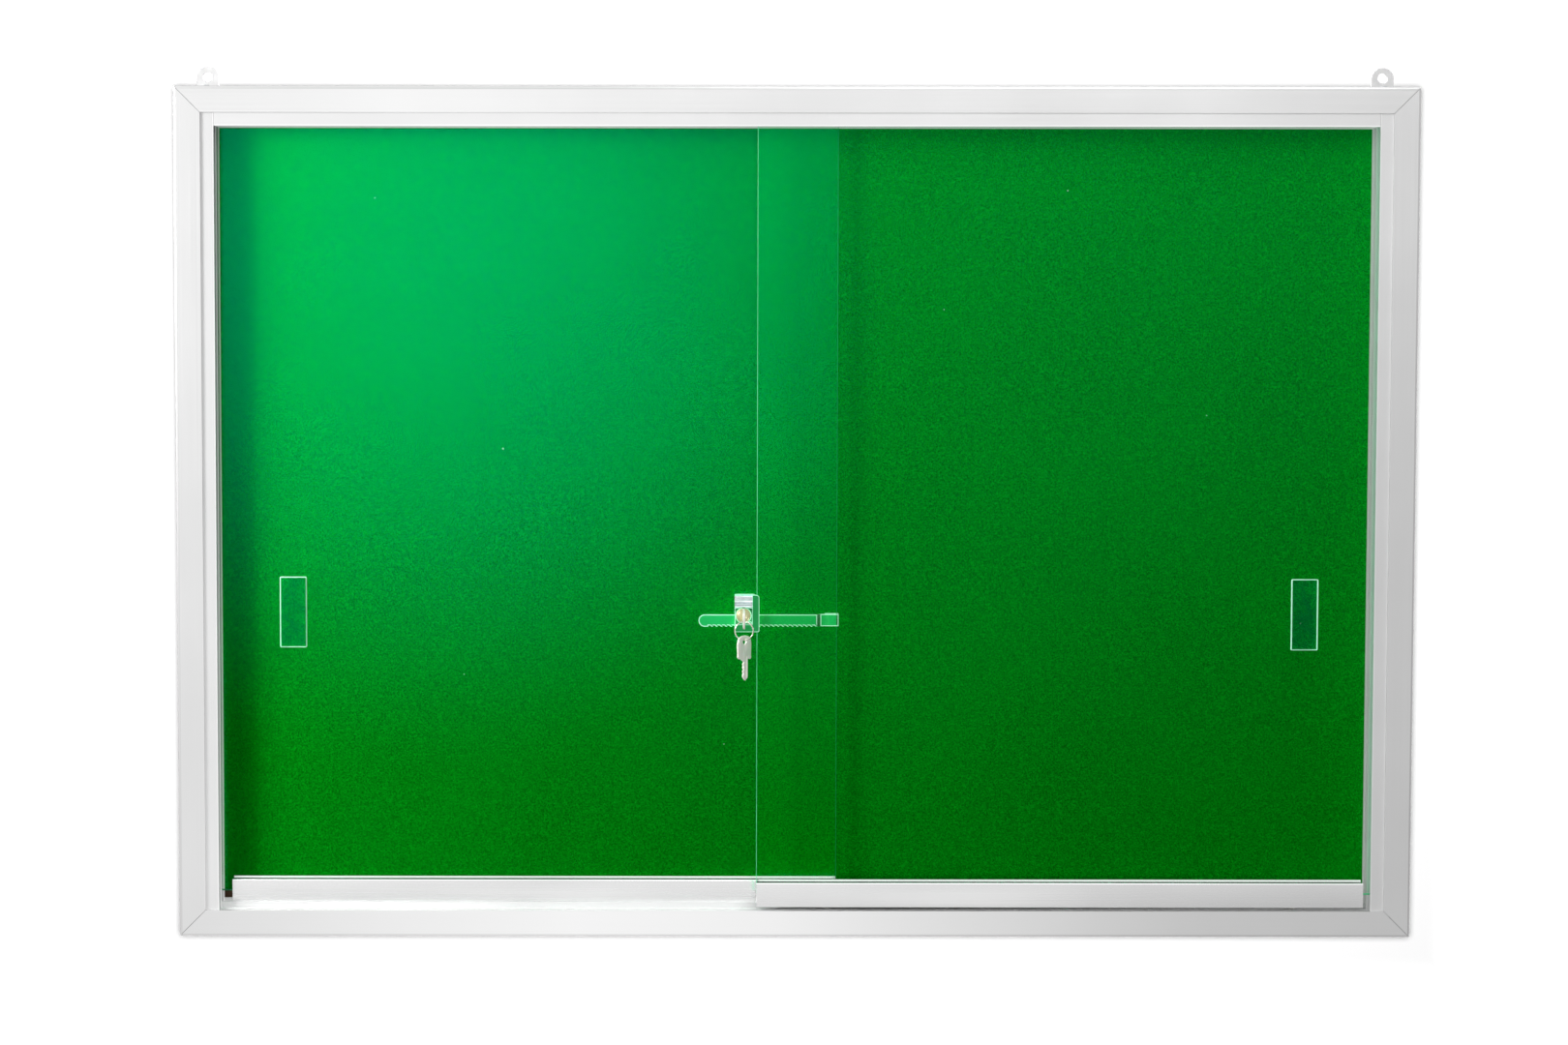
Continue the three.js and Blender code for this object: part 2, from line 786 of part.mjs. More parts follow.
function lockHousing() {
  const plateBlock = plate(
    outline([
      [-lockLeft, -lockFoot, lockEdgeRadius],
      [lockRight, -lockFoot, lockEdgeRadius],
      [lockRight, lockTop, lockEdgeRadius],
      [-lockLeft, lockTop, lockEdgeRadius],
    ]),
    lockBack,
    lockPlateFront,
  );
  const reach = lockFront - lockPlateFront;
  const stepFront = lockPlateFront + reach * stepReachShare;
  const rollFront = lockPlateFront + reach * rollReachShare;
  const rollTop = lockTop - lockEdgeRadius;
  const steps = alongX(
    [
      [lockPlateFront - lockPlate / 2, -blockFoot],
      [lockFront, -blockFoot, lockEdgeRadius],
      [lockFront, blockTop, lockEdgeRadius],
      [stepFront, blockTop],
      [stepFront, lockTop * stepTopShare, 2 * lockEdgeRadius],
      [lockPlateFront + reach * grooveReachShare, lockTop * stepTopShare],
      [rollFront, lockTop * rollFootShare, lockEdgeRadius],
      [rollFront, rollTop, lockEdgeRadius],
      [lockPlateFront - lockPlate / 2, rollTop],
    ],
    -lockLeft,
    nose,
  );
  const slotBack = lockBack + lockBackWall;
  const cavityHalf = pawlWidth / 2 + gap;
  const cavityTop = pawlHead + pawlLift + gap;
  return cutBy(plateBlock.add(steps), [
    box(-lockLeft - overrun, lockRight + overrun, slotBack, lockSlotFront, slotFoot, slotTop),
    box(-cavityHalf, cavityHalf, lockSlotFront - gap, cavityFront, cavityFoot, cavityTop),
    box(-cavityHalf, cavityHalf, slotBack, cavityFront, cavityFoot, slotFoot + gap),
    roundBar(boreRadius, 0, 0, cavityFront - gap, lockFront + overrun),
    studSeat(lockScrewRadius, lockScrewX, lockScrewZ, lockFront),
    studSeat(lockRivetRadius, lockRivetX, lockRivetZ, lockPlateFront),
  ]);
}

// A stud with a flat head on the face at front, and the hole that takes its shank
function studSolid(radius, x, z, front) {
  const seatFront = front + glazingGap;
  const head = roundBar(radius, x, z, seatFront, seatFront + studHead, 20);
  const shank = roundBar(radius / 2, x, z, front - studDepth, seatFront + studHead / 2, 12);
  return head.add(shank);
}

function studSeat(radius, x, z, front) {
  return roundBar(radius / 2 + holeGap, x, z, front - studDepth - gap, front + overrun, 12);
}

function barrelSolid() {
  const bore = roundBar(plugRadius + runningGap, 0, 0, barrelBack - overrun, barrelFront + overrun);
  return roundBar(barrelRadius, 0, 0, barrelBack, barrelFront).subtract(bore);
}

// The plug carries an off-centre pin that lifts the pawl by pawlLift in a quarter turn.
const keyway = keyThickness + 2 * gap;
const plugRear = channelWall;
function plugSolid() {
  const body = roundBar(plugRadius, 0, 0, barrelBack, plugFront);
  const pin = roundBar(crankPinRadius, -crank, -crank, pawlBack, barrelBack + gap, 16);
  const blade = keyBladeWidth / 2 + gap;
  const slot = box(-keyway / 2, keyway / 2, barrelBack + plugRear, plugFront + overrun, -blade, blade);
  return body.add(pin).subtract(slot);
}

function pawlSolid() {
  const half = pawlWidth / 2;
  const slider = box(-half, half, pawlBack, pawlFront, pawlBase, pawlHead);
  const reach = 2 * crank + crankSlot;
  const low = -crank - crankSlot;
  const high = -crank + crankSlot;
  const window = box(-reach, reach, pawlBack - overrun, pawlFront + overrun, low, high);
  const foot = box(-half, half, barBack, pawlFront, pawlBase, pawlTop - toothDepth + holeGap);
  const wedge = plate(
    outline([
      [-noseBase / 2, pawlBase],
      [noseBase / 2, pawlBase],
      [noseBase / 2, pawlTop - toothDepth + holeGap],
      [-noseBase / 2 + noseTop, pawlTop],
      [-noseBase / 2, pawlTop],
    ]),
    barBack,
    pawlFront,
  );
  return slider.subtract(window).add(foot).add(wedge);
}

// A bowed leaf spring under the pawl
function springSolid() {
  const half = springSpan / 2;
  const foot = cavityFoot + gap;
  const crown = 2 * springRise - springThickness;
  const shape = new THREE.Shape();
  shape.moveTo(-half, foot);
  shape.quadraticCurveTo(0, foot + crown, half, foot);
  shape.lineTo(half, foot + springThickness);
  shape.quadraticCurveTo(0, foot + crown + springThickness, -half, foot + springThickness);
  shape.closePath();
  const middle = (lockBack + lockBackWall + cavityFront) / 2;
  return plate(shape, middle - springWidth / 2, middle + springWidth / 2);
}

add(lock, "lock_housing", lockHousing(), "chrome");
add(lock, "lock_barrel", barrelSolid(), "brass");
add(lock, "lock_plug", plugSolid(), "brass");
add(lock, "lock_pawl", pawlSolid(), "steel");
add(lock, "pawl_spring", springSolid(), "steel");
add(lock, "lock_screw", studSolid(lockScrewRadius, lockScrewX, lockScrewZ, lockFront), "steel");
add(lock, "lock_rivet", studSolid(lockRivetRadius, lockRivetX, lockRivetZ, lockPlateFront), "steel");

// Key, drawn hanging by its hole: the hole's middle is at zero, the tip points down
function keySolid() {
  const bow = keyBowWidth / 2;
  const blade = keyBladeWidth / 2;
  const shoulder = keyHoleInset - keyBowLength;
  const tip = shoulder - keyBladeLength;
  const right = keyBladeOffset + blade;
  const left = keyBladeOffset - blade;
  const k = keyShares;
  const bladeEnd = tip + blade * k.tipShare;
  const shape = new THREE.Shape();
  shape.moveTo(-bow, shoulder * k.cheekShare);
  shape.lineTo(-bow * k.leftWaistShare, shoulder * k.waistShare);
  shape.lineTo(-bow * k.leftShoulderShare, shoulder);
  shape.lineTo(left, shoulder);
  const step = (shoulder - bladeEnd) / (keyBites + 1);
  for (let i = 1; i <= keyBites; i += 1) {
    const z = shoulder - i * step;
    const depth = keyNotch * (i % 2 === 0 ? k.shallowBiteShare : 1);
    shape.lineTo(left, z + step * k.biteMouthShare);
    shape.lineTo(left + depth, z + step * k.biteFootShare);
    shape.lineTo(left + depth, z - step * k.biteFootShare);
    shape.lineTo(left, z - step * k.biteMouthShare);
  }
  shape.lineTo(left, bladeEnd);
  shape.lineTo(keyBladeOffset, tip);
  shape.lineTo(right, tip + blade);
  shape.lineTo(right, shoulder);
  shape.lineTo(bow * k.rightShoulderShare, shoulder);
  shape.lineTo(bow * k.rightWaistShare, shoulder * k.waistShare);
  shape.lineTo(bow, shoulder * k.cheekShare);
  const crownZ = keyHoleInset * k.crownHeightShare;
  const crownX = bow * k.crownWidthShare;
  shape.bezierCurveTo(bow, crownZ, crownX, keyHoleInset, 0, keyHoleInset);
  shape.bezierCurveTo(-crownX, keyHoleInset, -bow, crownZ, -bow, shoulder * k.cheekShare);
  const hole = new THREE.Path();
  hole.absellipse(0, 0, keyHoleWidth / 2, keyHoleHeight / 2, 0, 2 * Math.PI, true, 0);
  shape.holes.push(hole);
  return plate(shape, -keyThickness / 2, keyThickness / 2, 10);
}

const keyTipForward = barrelBack + plugRear + gap;
const keyHoleForward = keyTipForward + keyBladeLength + keyBowLength - keyHoleInset;
const hungWire = wireRadius + gap;
const ringTop = -keyBladeOffset - keyHoleWidth / 2 + hungWire;
const ringMiddle = ringTop - ringRadius;
const ringFoot = ringMiddle - ringRadius;

const insertedKey = add(lock, "inserted_key", keySolid(), "nickel");
insertedKey.applyMatrix4(
  new THREE.Matrix4().makeBasis(
    new THREE.Vector3(0, 0, 1),
    new THREE.Vector3(-1, 0, 0),
    new THREE.Vector3(0, -1, 0),
  ),
);
insertedKey.position.set(0, -keyHoleForward, -keyBladeOffset);

const ring = add(
  lock,
  "key_ring",
  solidOf(new THREE.TorusGeometry(ringRadius, wireRadius, 10, 40).rotateX(Math.PI / 2)),
  "nickel",
);
ring.position.set(0, -keyHoleForward, ringMiddle);

const spareKey = add(lock, "spare_key", keySolid(), "nickel");
spareKey.rotation.z = spareTurn;
spareKey.position.set(0, -keyHoleForward, ringFoot + hungWire + 2 * gap - keyHoleHeight / 2);

// Hangers: a holed tab on a foot that is screwed down on the top rail
function hangerSolid() {
  const half = hangerWidth / 2;
  const foot = topZ + gap;
  const ledge = foot + hangerFoot;
  const top = topZ + hangerHeight;
  const wide = half + hangerFillet;
  const shape = new THREE.Shape();
  shape.moveTo(-wide, foot);
  shape.lineTo(wide, foot);
  shape.lineTo(wide, ledge);
  shape.quadraticCurveTo(half, ledge, half, ledge + hangerFillet);
  shape.lineTo(half, top - half);
  shape.absarc(0, top - half, half, 0, Math.PI, false);
  shape.lineTo(-half, ledge + hangerFillet);
  shape.quadraticCurveTo(-half, ledge, -wide, ledge);
  shape.closePath();
  const tab = plate(shape, 0, hangerPlate, 12);
  const sole = box(-wide, wide, 0, hangerFootDepth, foot, ledge);
  const eye = roundBar(hangerHoleRadius, 0, top - hangerHoleDrop, -overrun, hangerPlate + overrun);
  return tab.add(sole).subtract(eye);
}

for (const [sideName, side] of [["left", -1], ["right", 1]]) {
  const hole = solidOf(screwHole(2 * (screwLength + overrun)).translate(0, -hangerScrewForward, topZ));
  const hanger = add(part, `hanger_${sideName}`, hangerSolid().subtract(hole), "enamel");
  hanger.position.x = side * hangerX;
  const screw = add(part, `hanger_screw_${sideName}`, solidOf(screwSolid()), "steel");
  screw.position.set(side * hangerX, -hangerScrewForward, topZ + gap + hangerFoot + glazingGap);
}

export default part;
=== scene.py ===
import json
import math
import random
import bmesh
import bpy
from mathutils import Matrix, Vector, noise

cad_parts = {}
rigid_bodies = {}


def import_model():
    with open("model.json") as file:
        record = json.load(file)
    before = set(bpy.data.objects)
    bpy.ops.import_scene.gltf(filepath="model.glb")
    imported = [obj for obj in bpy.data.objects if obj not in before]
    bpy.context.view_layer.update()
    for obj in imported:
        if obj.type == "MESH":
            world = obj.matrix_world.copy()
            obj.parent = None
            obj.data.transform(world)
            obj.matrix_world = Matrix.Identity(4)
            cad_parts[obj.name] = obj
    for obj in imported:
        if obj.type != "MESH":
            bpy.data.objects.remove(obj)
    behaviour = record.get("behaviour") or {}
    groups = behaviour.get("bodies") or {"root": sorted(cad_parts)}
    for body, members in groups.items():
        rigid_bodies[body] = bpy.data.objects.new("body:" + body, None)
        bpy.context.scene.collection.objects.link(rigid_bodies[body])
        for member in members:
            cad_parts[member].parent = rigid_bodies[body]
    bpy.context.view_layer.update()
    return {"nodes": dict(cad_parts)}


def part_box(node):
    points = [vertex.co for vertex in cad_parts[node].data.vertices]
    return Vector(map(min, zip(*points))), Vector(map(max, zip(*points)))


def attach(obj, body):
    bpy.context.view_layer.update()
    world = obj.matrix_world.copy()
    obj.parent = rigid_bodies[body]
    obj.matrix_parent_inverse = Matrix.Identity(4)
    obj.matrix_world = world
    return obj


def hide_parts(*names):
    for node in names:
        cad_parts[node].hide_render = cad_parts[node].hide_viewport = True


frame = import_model()
nodes = frame["nodes"]


# Viewpoint
# A photographer's view of the board on its wall, from nearly straight in front of it and a
# little above its middle, tipped down by under three degrees.
view_place = (-0.105, -2.2, -0.2145)
view_pitch = 2.296
view_roll = -0.07
film_width = 36.0
view_lens = 50.44
view_aside = 0.0603
view_down = -0.0737

view_data = bpy.data.cameras.new("view")
view_data.sensor_width = film_width
view_data.lens = view_lens
view_data.shift_x = view_aside
view_data.shift_y = view_down
viewer = bpy.data.objects.new("view", view_data)
viewer.location = view_place
viewer.rotation_euler = (math.radians(90 - view_pitch), math.radians(view_roll), 0)
bpy.context.scene.collection.objects.link(viewer)
bpy.context.scene.camera = viewer
bpy.context.scene.view_settings.view_transform = "Standard"


# Wall, floor and lights
# White studio paper that hangs behind the board and curves out into a floor below it. It
# only catches shadow for the eye: light passes it, so that the board's back isn't dark.
wall_back = 0.003
floor_level = -1.35
paper_reach = 5.0
paper_bend = 0.5
bend_steps = 12
board_half, board_middle = (0.61, 0.42), -0.407
near_glow, open_glow = 0.12, 1.0
glow_from, glow_to = 0.03, 0.12


def linear(colour):
    """The linear RGBA of an sRGB colour written as six hex digits."""
    parts = [int(colour[i:i + 2], 16) / 255 for i in (0, 2, 4)]
    return [c / 12.92 if c <= 0.04045 else ((c + 0.055) / 1.055) ** 2.4
            for c in parts] + [1.0]


def add(tree, kind, wires=(), **settings):
    """Adds a node to a tree. Each wire is an input, and what it gets: a node, which gives
    its first output, or else a socket, a colour in hex digits or a plain value."""
    made = tree.nodes.new(kind)
    for name, value in settings.items():
        setattr(made, name, value)
    for name, value in dict(wires).items():
        if isinstance(value, bpy.types.Node):
            value = next(out for out in value.outputs if out.enabled)
        if isinstance(value, bpy.types.NodeSocket):
            tree.links.new(value, made.inputs[name])
        elif isinstance(value, str):
            made.inputs[name].default_value = linear(value)
        else:
            made.inputs[name].default_value = value
    return made


def new_finish(name):
    """A new material, its cleared node tree, and the place on the object that it colours."""
    made = bpy.data.materials.new(name)
    made.use_nodes = True
    tree = made.node_tree
    tree.nodes.clear()
    return made, tree, add(tree, "ShaderNodeTexCoord").outputs["Object"]


def show(tree, shader):
    """Joins the last shader of a material's tree to its surface."""
    add(tree, "ShaderNodeOutputMaterial", {"Surface": shader})


def mesh_piece(name, shape, *finishes):
    """An object at the origin that holds a finished bmesh."""
    data = bpy.data.meshes.new(name)
    shape.to_mesh(data)
    shape.free()
    made = bpy.data.objects.new(name, data)
    for finish in finishes:
        data.materials.append(finish)
    bpy.context.scene.collection.objects.link(made)
    return made


# Studio paper is matt. Its colour is dim and its own lamp is strong, so that the board's
# lamps hardly mark it
paper, tree, place = new_finish("white_paper_backdrop")
ray = add(tree, "ShaderNodeLightPath")
side = add(tree, "ShaderNodeNewGeometry")
front = add(tree, "ShaderNodeMath", {0: 1.0, 1: side.outputs["Backfacing"]},
            operation="SUBTRACT")
shown = add(tree, "ShaderNodeMath", {0: ray.outputs["Is Camera Ray"], 1: front},
            operation="MULTIPLY")
# The paper glows by itself but for a band round the board, where only lamplight whitens it,
# so that the board's soft shadow shows there
axes = add(tree, "ShaderNodeSeparateXYZ", {0: place})
beyond = []
for axis, half, middle in (("X", board_half[0], 0.0), ("Z", board_half[1], board_middle)):
    off = add(tree, "ShaderNodeMath", {0: axes.outputs[axis], 1: middle},
              operation="SUBTRACT")
    far = add(tree, "ShaderNodeMath", {0: off}, operation="ABSOLUTE")
    beyond.append(add(tree, "ShaderNodeMath", {0: far, 1: half}, operation="SUBTRACT"))
outside = add(tree, "ShaderNodeMath", {0: beyond[0], 1: beyond[1]}, operation="MAXIMUM")
glow = add(tree, "ShaderNodeMapRange", {
    "Value": outside, "From Min": glow_from, "From Max": glow_to,
    "To Min": near_glow, "To Max": open_glow}, interpolation_type="SMOOTHSTEP")
matt = add(tree, "ShaderNodeBsdfDiffuse", {"Color": "303030"})
bright = add(tree, "ShaderNodeEmission", {"Color": "FFFFFF", "Strength": glow})
lit = add(tree, "ShaderNodeAddShader", {0: matt, 1: bright})
passing = add(tree, "ShaderNodeBsdfTransparent")
show(tree, add(tree, "ShaderNodeMixShader", {0: shown, 1: passing, 2: lit}))

profile = [(-paper_reach, floor_level)]
for step in range(bend_steps + 1):
    turn = math.pi / 2 * step / bend_steps
    profile.append((wall_back - paper_bend + paper_bend * math.sin(turn),
                    floor_level + paper_bend - paper_bend * math.cos(turn)))
profile.append((wall_back, paper_reach))
shape = bmesh.new()
rows = [[shape.verts.new((x, y, z)) for x in (-paper_reach, paper_reach)]
        for y, z in profile]
for lower, upper in zip(rows, rows[1:]):
    shape.faces.new((lower[0], lower[1], upper[1], upper[0]))
shape.normal_update()
backdrop = mesh_piece("backdrop", shape, paper)
backdrop.data.shade_smooth()

# What metal mirrors is a white room that grows dimmer to the lower right. The panes, which
# mirror sharply, show the dark side of the studio with one soft window of light in it.
world = bpy.data.worlds.new("studio")
bpy.context.scene.world = world
world.use_nodes = True
tree = world.node_tree
tree.nodes.clear()
fill_level = 0.13
room_reach = 0.8
room_aside, room_up = (1.22, 0.56), (-0.3, 0.34)
low_middle, low_size = (-0.02, -0.3, 0.0), (0.3, 0.22, 1.0)
low_level = 0.5
window_middle, window_size = (-0.12, 0.045, 0.0), (0.24, 0.26, 1.0)
window_level = 2.7
upper_middle, upper_size = (0.1, 0.12, 0.0), (0.6, 0.38, 1.0)
upper_level = 0.8
least_ahead = 0.05
behind_from = -0.3

ray = add(tree, "ShaderNodeLightPath")
way = add(tree, "ShaderNodeTexCoord")
axes = add(tree, "ShaderNodeSeparateXYZ", {0: way.outputs["Generated"]})
ahead = add(tree, "ShaderNodeMath", {0: axes.outputs["Y"], 1: -1.0}, operation="MULTIPLY")
ahead = add(tree, "ShaderNodeMath", {0: ahead, 1: least_ahead}, operation="MAXIMUM")
sight = [add(tree, "ShaderNodeMath", {0: axes.outputs[axis], 1: ahead},
             operation="DIVIDE") for axis in ("X", "Z")]
slopes = [add(tree, "ShaderNodeMapRange", {
    "Value": value, "From Min": -room_reach, "From Max": room_reach, "To Min": low,
    "To Max": high}) for value, (low, high) in zip(sight, (room_aside, room_up))]
spot = add(tree, "ShaderNodeCombineXYZ", {0: sight[0], 1: sight[1]})


def soft_spot(middle, size, most):
    """A soft round patch of light, given as the slopes that a mirrored ray leaves at."""
    off = add(tree, "ShaderNodeVectorMath", {0: spot, 1: middle}, operation="SUBTRACT")
    share = add(tree, "ShaderNodeVectorMath", {0: off, 1: size}, operation="DIVIDE")
    far = add(tree, "ShaderNodeVectorMath", {0: share}, operation="LENGTH")
    return add(tree, "ShaderNodeMapRange", {"Value": far, "To Min": most, "To Max": 0.0},
               interpolation_type="SMOOTHSTEP")


def together(*levels):
    """Levels of light, added up."""
    level = levels[0]
    for more in levels[1:]:
        level = add(tree, "ShaderNodeMath", {0: level, 1: more}, operation="ADD")
    return level


room = together(*slopes, soft_spot(low_middle, low_size, low_level))
dark_side = together(soft_spot(window_middle, window_size, window_level),
                     soft_spot(upper_middle, upper_size, upper_level))
before = add(tree, "ShaderNodeMix", {0: ray.outputs["Is Singular Ray"], 2: room,
                                     3: dark_side})
behind = add(tree, "ShaderNodeMapRange", {"Value": axes.outputs["Y"],
                                          "From Min": behind_from, "From Max": 0.0})
mirrored = add(tree, "ShaderNodeMix", {0: behind, 2: before, 3: 1.0})
level = add(tree, "ShaderNodeMix", {0: ray.outputs["Is Glossy Ray"], 2: fill_level,
                                    3: mirrored})
straight = add(tree, "ShaderNodeMath", {0: ray.outputs["Is Camera Ray"],
                                        1: ray.outputs["Is Transmission Ray"]},
               operation="MAXIMUM")
final = add(tree, "ShaderNodeMix", {0: straight, 2: level, 3: 1.0})
sky = add(tree, "ShaderNodeBackground", {"Color": "FFFFFF", "Strength": final})
add(tree, "ShaderNodeOutputWorld", {"Surface": sky})

# A key lamp at the left, so that it rakes the felt and stays out of the glass, a weaker one
# above, one behind for the board's back, and one by the camera that lights just the paper
paper_only = bpy.data.collections.new("paper_only")
paper_only.objects.link(backdrop)
for name, place, aim, size, power in (
        ("key_lamp", (-1.5, -0.62, 0.08), (-0.1, 0.0, -0.4), 0.45, 26.0),
        ("top_lamp", (0.45, -0.9, 0.75), (0.3, 0.0, -0.3), 1.0, 7.5),
        ("back_lamp", (0.6, 2.4, 0.8), (0.0, 0.0, -0.4), 1.6, 26.0),
        ("paper_lamp", view_place, (view_place[0], 0.0, view_place[2]), 0.55, 1950.0)):
    lamp = bpy.data.lights.new(name, "AREA")
    lamp.shape = "DISK" if name == "paper_lamp" else "SQUARE"
    lamp.size = size
    lamp.energy = power
    made = bpy.data.objects.new(name, lamp)
    made.location = place
    made.rotation_euler = (Vector(aim) - Vector(place)).to_track_quat("-Z", "Y").to_euler()
    bpy.context.scene.collection.objects.link(made)
    if name == "paper_lamp":
        made.light_linking.receiver_collection = paper_only


# Frame
# Four lengths of one extruded aluminium tube, cut at 45 degrees and pressed onto cast angles
# in the corners. Satin anodised: a near white, fine matt metal with faint lines along it.
frame_half, frame_half_height = board_half
# Painted shade: the frame's outer edges and outer sides are painted a darker grey
outer_edge_shade = [("X", -frame_half, (0.0022, 0.0035), "C8C8C8", 0.85),
               ("X", frame_half, (0.0012, 0.0025), "C8C8C8", 0.85),
               ("Z", 0.012, (0.0018, 0.0030), "C8C8C8", 0.85)]
mitre_line = (0.0002, 0.0005)
line_pitch, line_length, etch_size, cloud_size = 1.1, 400, 0.714, 167
rough_swing = 0.07


def per(size):
    """The scale of a pattern whose grain is so many millimetres."""
    return 1000 / size


def dress(finish, *starts):
    """Gives a finish to the CAD pieces whose names start in one of these ways."""
    for name, piece in nodes.items():
        if name.startswith(starts):
            piece.data.materials.clear()
            piece.data.materials.append(finish)


def near_plane(tree, value, at, reach, most):
    """A share that is highest where a value is at a given size, and none reach away."""
    off = add(tree, "ShaderNodeMath", {0: value, 1: at}, operation="SUBTRACT")
    far = add(tree, "ShaderNodeMath", {0: off}, operation="ABSOLUTE")
    return add(tree, "ShaderNodeMapRange", {"Value": far, "From Min": reach[0],
                                            "From Max": reach[1], "To Min": most,
                                            "To Max": 0.0})


def edge_lines(tree, axes, tone, lines):
    """Bright or dark edges over a tone: axis, place, half width, colour, share."""
    for axis, at, reach, colour, share in lines:
        edge = near_plane(tree, axes.outputs[axis], at, reach, share)
        tone = add(tree, "ShaderNodeMix", {0: edge, 6: tone, 7: colour}, data_type="RGBA")
    return tone


def anodised(name, along, colour="E4E4E4", rough=0.33, metal=1.0, mitred=False, lines=(),
             painted_glows=(), dust_and_painted_glow=0.0):
    """Satin anodised aluminium, extruded along X or Z: faint lines run that way, and the
    grain of the etched surface is fine. Glows are painted light: an emission that stands in
    for light that edges scatter on their neighbours: axis, place, reach, level. A glow level
    given for the whole surface is painted light too."""
    made, tree, place = new_finish(name)
    axes = add(tree, "ShaderNodeSeparateXYZ", {0: place})
    fine, long = per(line_pitch), per(line_length)
    drawn = (long, fine, fine) if along == "X" else (fine, fine, long)
    mapped = add(tree, "ShaderNodeMapping", {"Vector": place, "Scale": drawn})
    streak = add(tree, "ShaderNodeTexNoise", {"Vector": mapped, "Scale": 1.0,
                                              "Detail": 3.0})
    etch = add(tree, "ShaderNodeTexNoise", {"Vector": place, "Scale": per(etch_size),
                                            "Detail": 2.0})
    cloud = add(tree, "ShaderNodeTexNoise", {"Vector": place, "Scale": per(cloud_size),
                                             "Detail": 3.0})
    tone = add(tree, "ShaderNodeMix", {0: streak, 6: colour, 7: "ECECEC"}, data_type="RGBA")
    tone = add(tree, "ShaderNodeMix", {0: cloud, 6: tone, 7: "D7D7D7"}, data_type="RGBA")
    if mitred:
        away = add(tree, "ShaderNodeMath", {0: axes.outputs["X"]}, operation="ABSOLUTE")
        up = add(tree, "ShaderNodeMath", {0: axes.outputs["Z"], 1: board_middle},
                 operation="SUBTRACT")
        up = add(tree, "ShaderNodeMath", {0: up}, operation="ABSOLUTE")
        lean = add(tree, "ShaderNodeMath", {0: away, 1: up}, operation="SUBTRACT")
        joint = near_plane(tree, lean, frame_half - frame_half_height, mitre_line, 0.6)
        tone = add(tree, "ShaderNodeMix", {0: joint, 6: tone, 7: "727272"},
                   data_type="RGBA")
        # Mitred members also take the painted shade along the frame's outer edges
        lines = [*lines, *outer_edge_shade]
    tone = edge_lines(tree, axes, tone, lines)
    matt = add(tree, "ShaderNodeMapRange", {"Value": streak, "To Min": rough - rough_swing,
                                            "To Max": rough + rough_swing})
    ridges = add(tree, "ShaderNodeBump", {"Height": streak, "Strength": 0.1,
                                          "Distance": 0.0001})
    relief = add(tree, "ShaderNodeBump", {"Height": etch, "Strength": 0.08,
                                          "Distance": 0.0001, "Normal": ridges})
    level = dust_and_painted_glow
    for axis, at, reach, most in painted_glows:
        edge = near_plane(tree, axes.outputs[axis], at, reach, most)
        level = add(tree, "ShaderNodeMath", {0: edge, 1: level}, operation="ADD")
    show(tree, add(tree, "ShaderNodeBsdfPrincipled", {
        "Base Color": tone, "Metallic": metal, "Roughness": matt, "Normal": relief,
        "Emission Color": tone, "Emission Strength": level}))
    return made


# Painted light and shade on the members: the top rail is painted lighter left of its middle
# and darker at its left end, the bottom rail lighter over its left and middle, and the left
# stile darker towards its top, with a painted glow on its inner step
inner_edge = -0.5832
dress(anodised("anodised_top_rail", "X", mitred=True,
               lines=[("X", -0.36, (0.06, 0.4), "FFFFFF", 0.4),
                      ("X", -frame_half, (0.0, 0.22), "C8C8C8", 0.6)]), "top_rail")
dress(anodised("anodised_bottom_rail", "X", mitred=True,
               lines=[("X", -0.12, (0.1, 0.5), "FFFFFF", 0.9)]), "bottom_rail")
dress(anodised("anodised_left_stile", "Z", mitred=True,
               lines=[("Z", 0.0, (0.05, 0.5), "CECECE", 0.6)],
               painted_glows=[("X", inner_edge, (0.0008, 0.0012), 0.3)]), "left_stile")
dress(anodised("anodised_right_stile", "Z", mitred=True), "right_stile")


# Corner cleats
# Zinc angles cast in a die, which fill the tube at each mitre and hold it shut. Dull grey,
# with the grain of the casting.
def grained(name, dark, light, grain_size, rough, metal=0.0, depth=0.0002):
    """A finish in two tones with one grain, whose size is in millimetres."""
    made, tree, place = new_finish(name)
    grain = add(tree, "ShaderNodeTexNoise", {"Vector": place, "Scale": per(grain_size),
                                             "Detail": 4.0})
    cloud = add(tree, "ShaderNodeTexNoise", {"Vector": place, "Scale": per(20 * grain_size),
                                             "Detail": 2.0})
    mixed = add(tree, "ShaderNodeMath", {0: grain, 1: cloud}, operation="MULTIPLY")
    share = add(tree, "ShaderNodeMapRange", {"Value": mixed, "From Min": 0.1,
                                             "From Max": 0.45})
    tone = add(tree, "ShaderNodeMix", {0: share, 6: dark, 7: light}, data_type="RGBA")
    matt = add(tree, "ShaderNodeMapRange", {"Value": grain, "To Min": rough * 0.8,
                                            "To Max": rough * 1.2})
    relief = add(tree, "ShaderNodeBump", {"Height": grain, "Strength": 0.3,
                                          "Distance": depth})
    show(tree, add(tree, "ShaderNodeBsdfPrincipled", {"Base Color": tone, "Metallic": metal,
                                                      "Roughness": matt, "Normal": relief}))
    return made


dress(grained("zinc_casting", "85898C", "A9ADB0", 1.2, 0.55, metal=0.9), "corner_cleat")


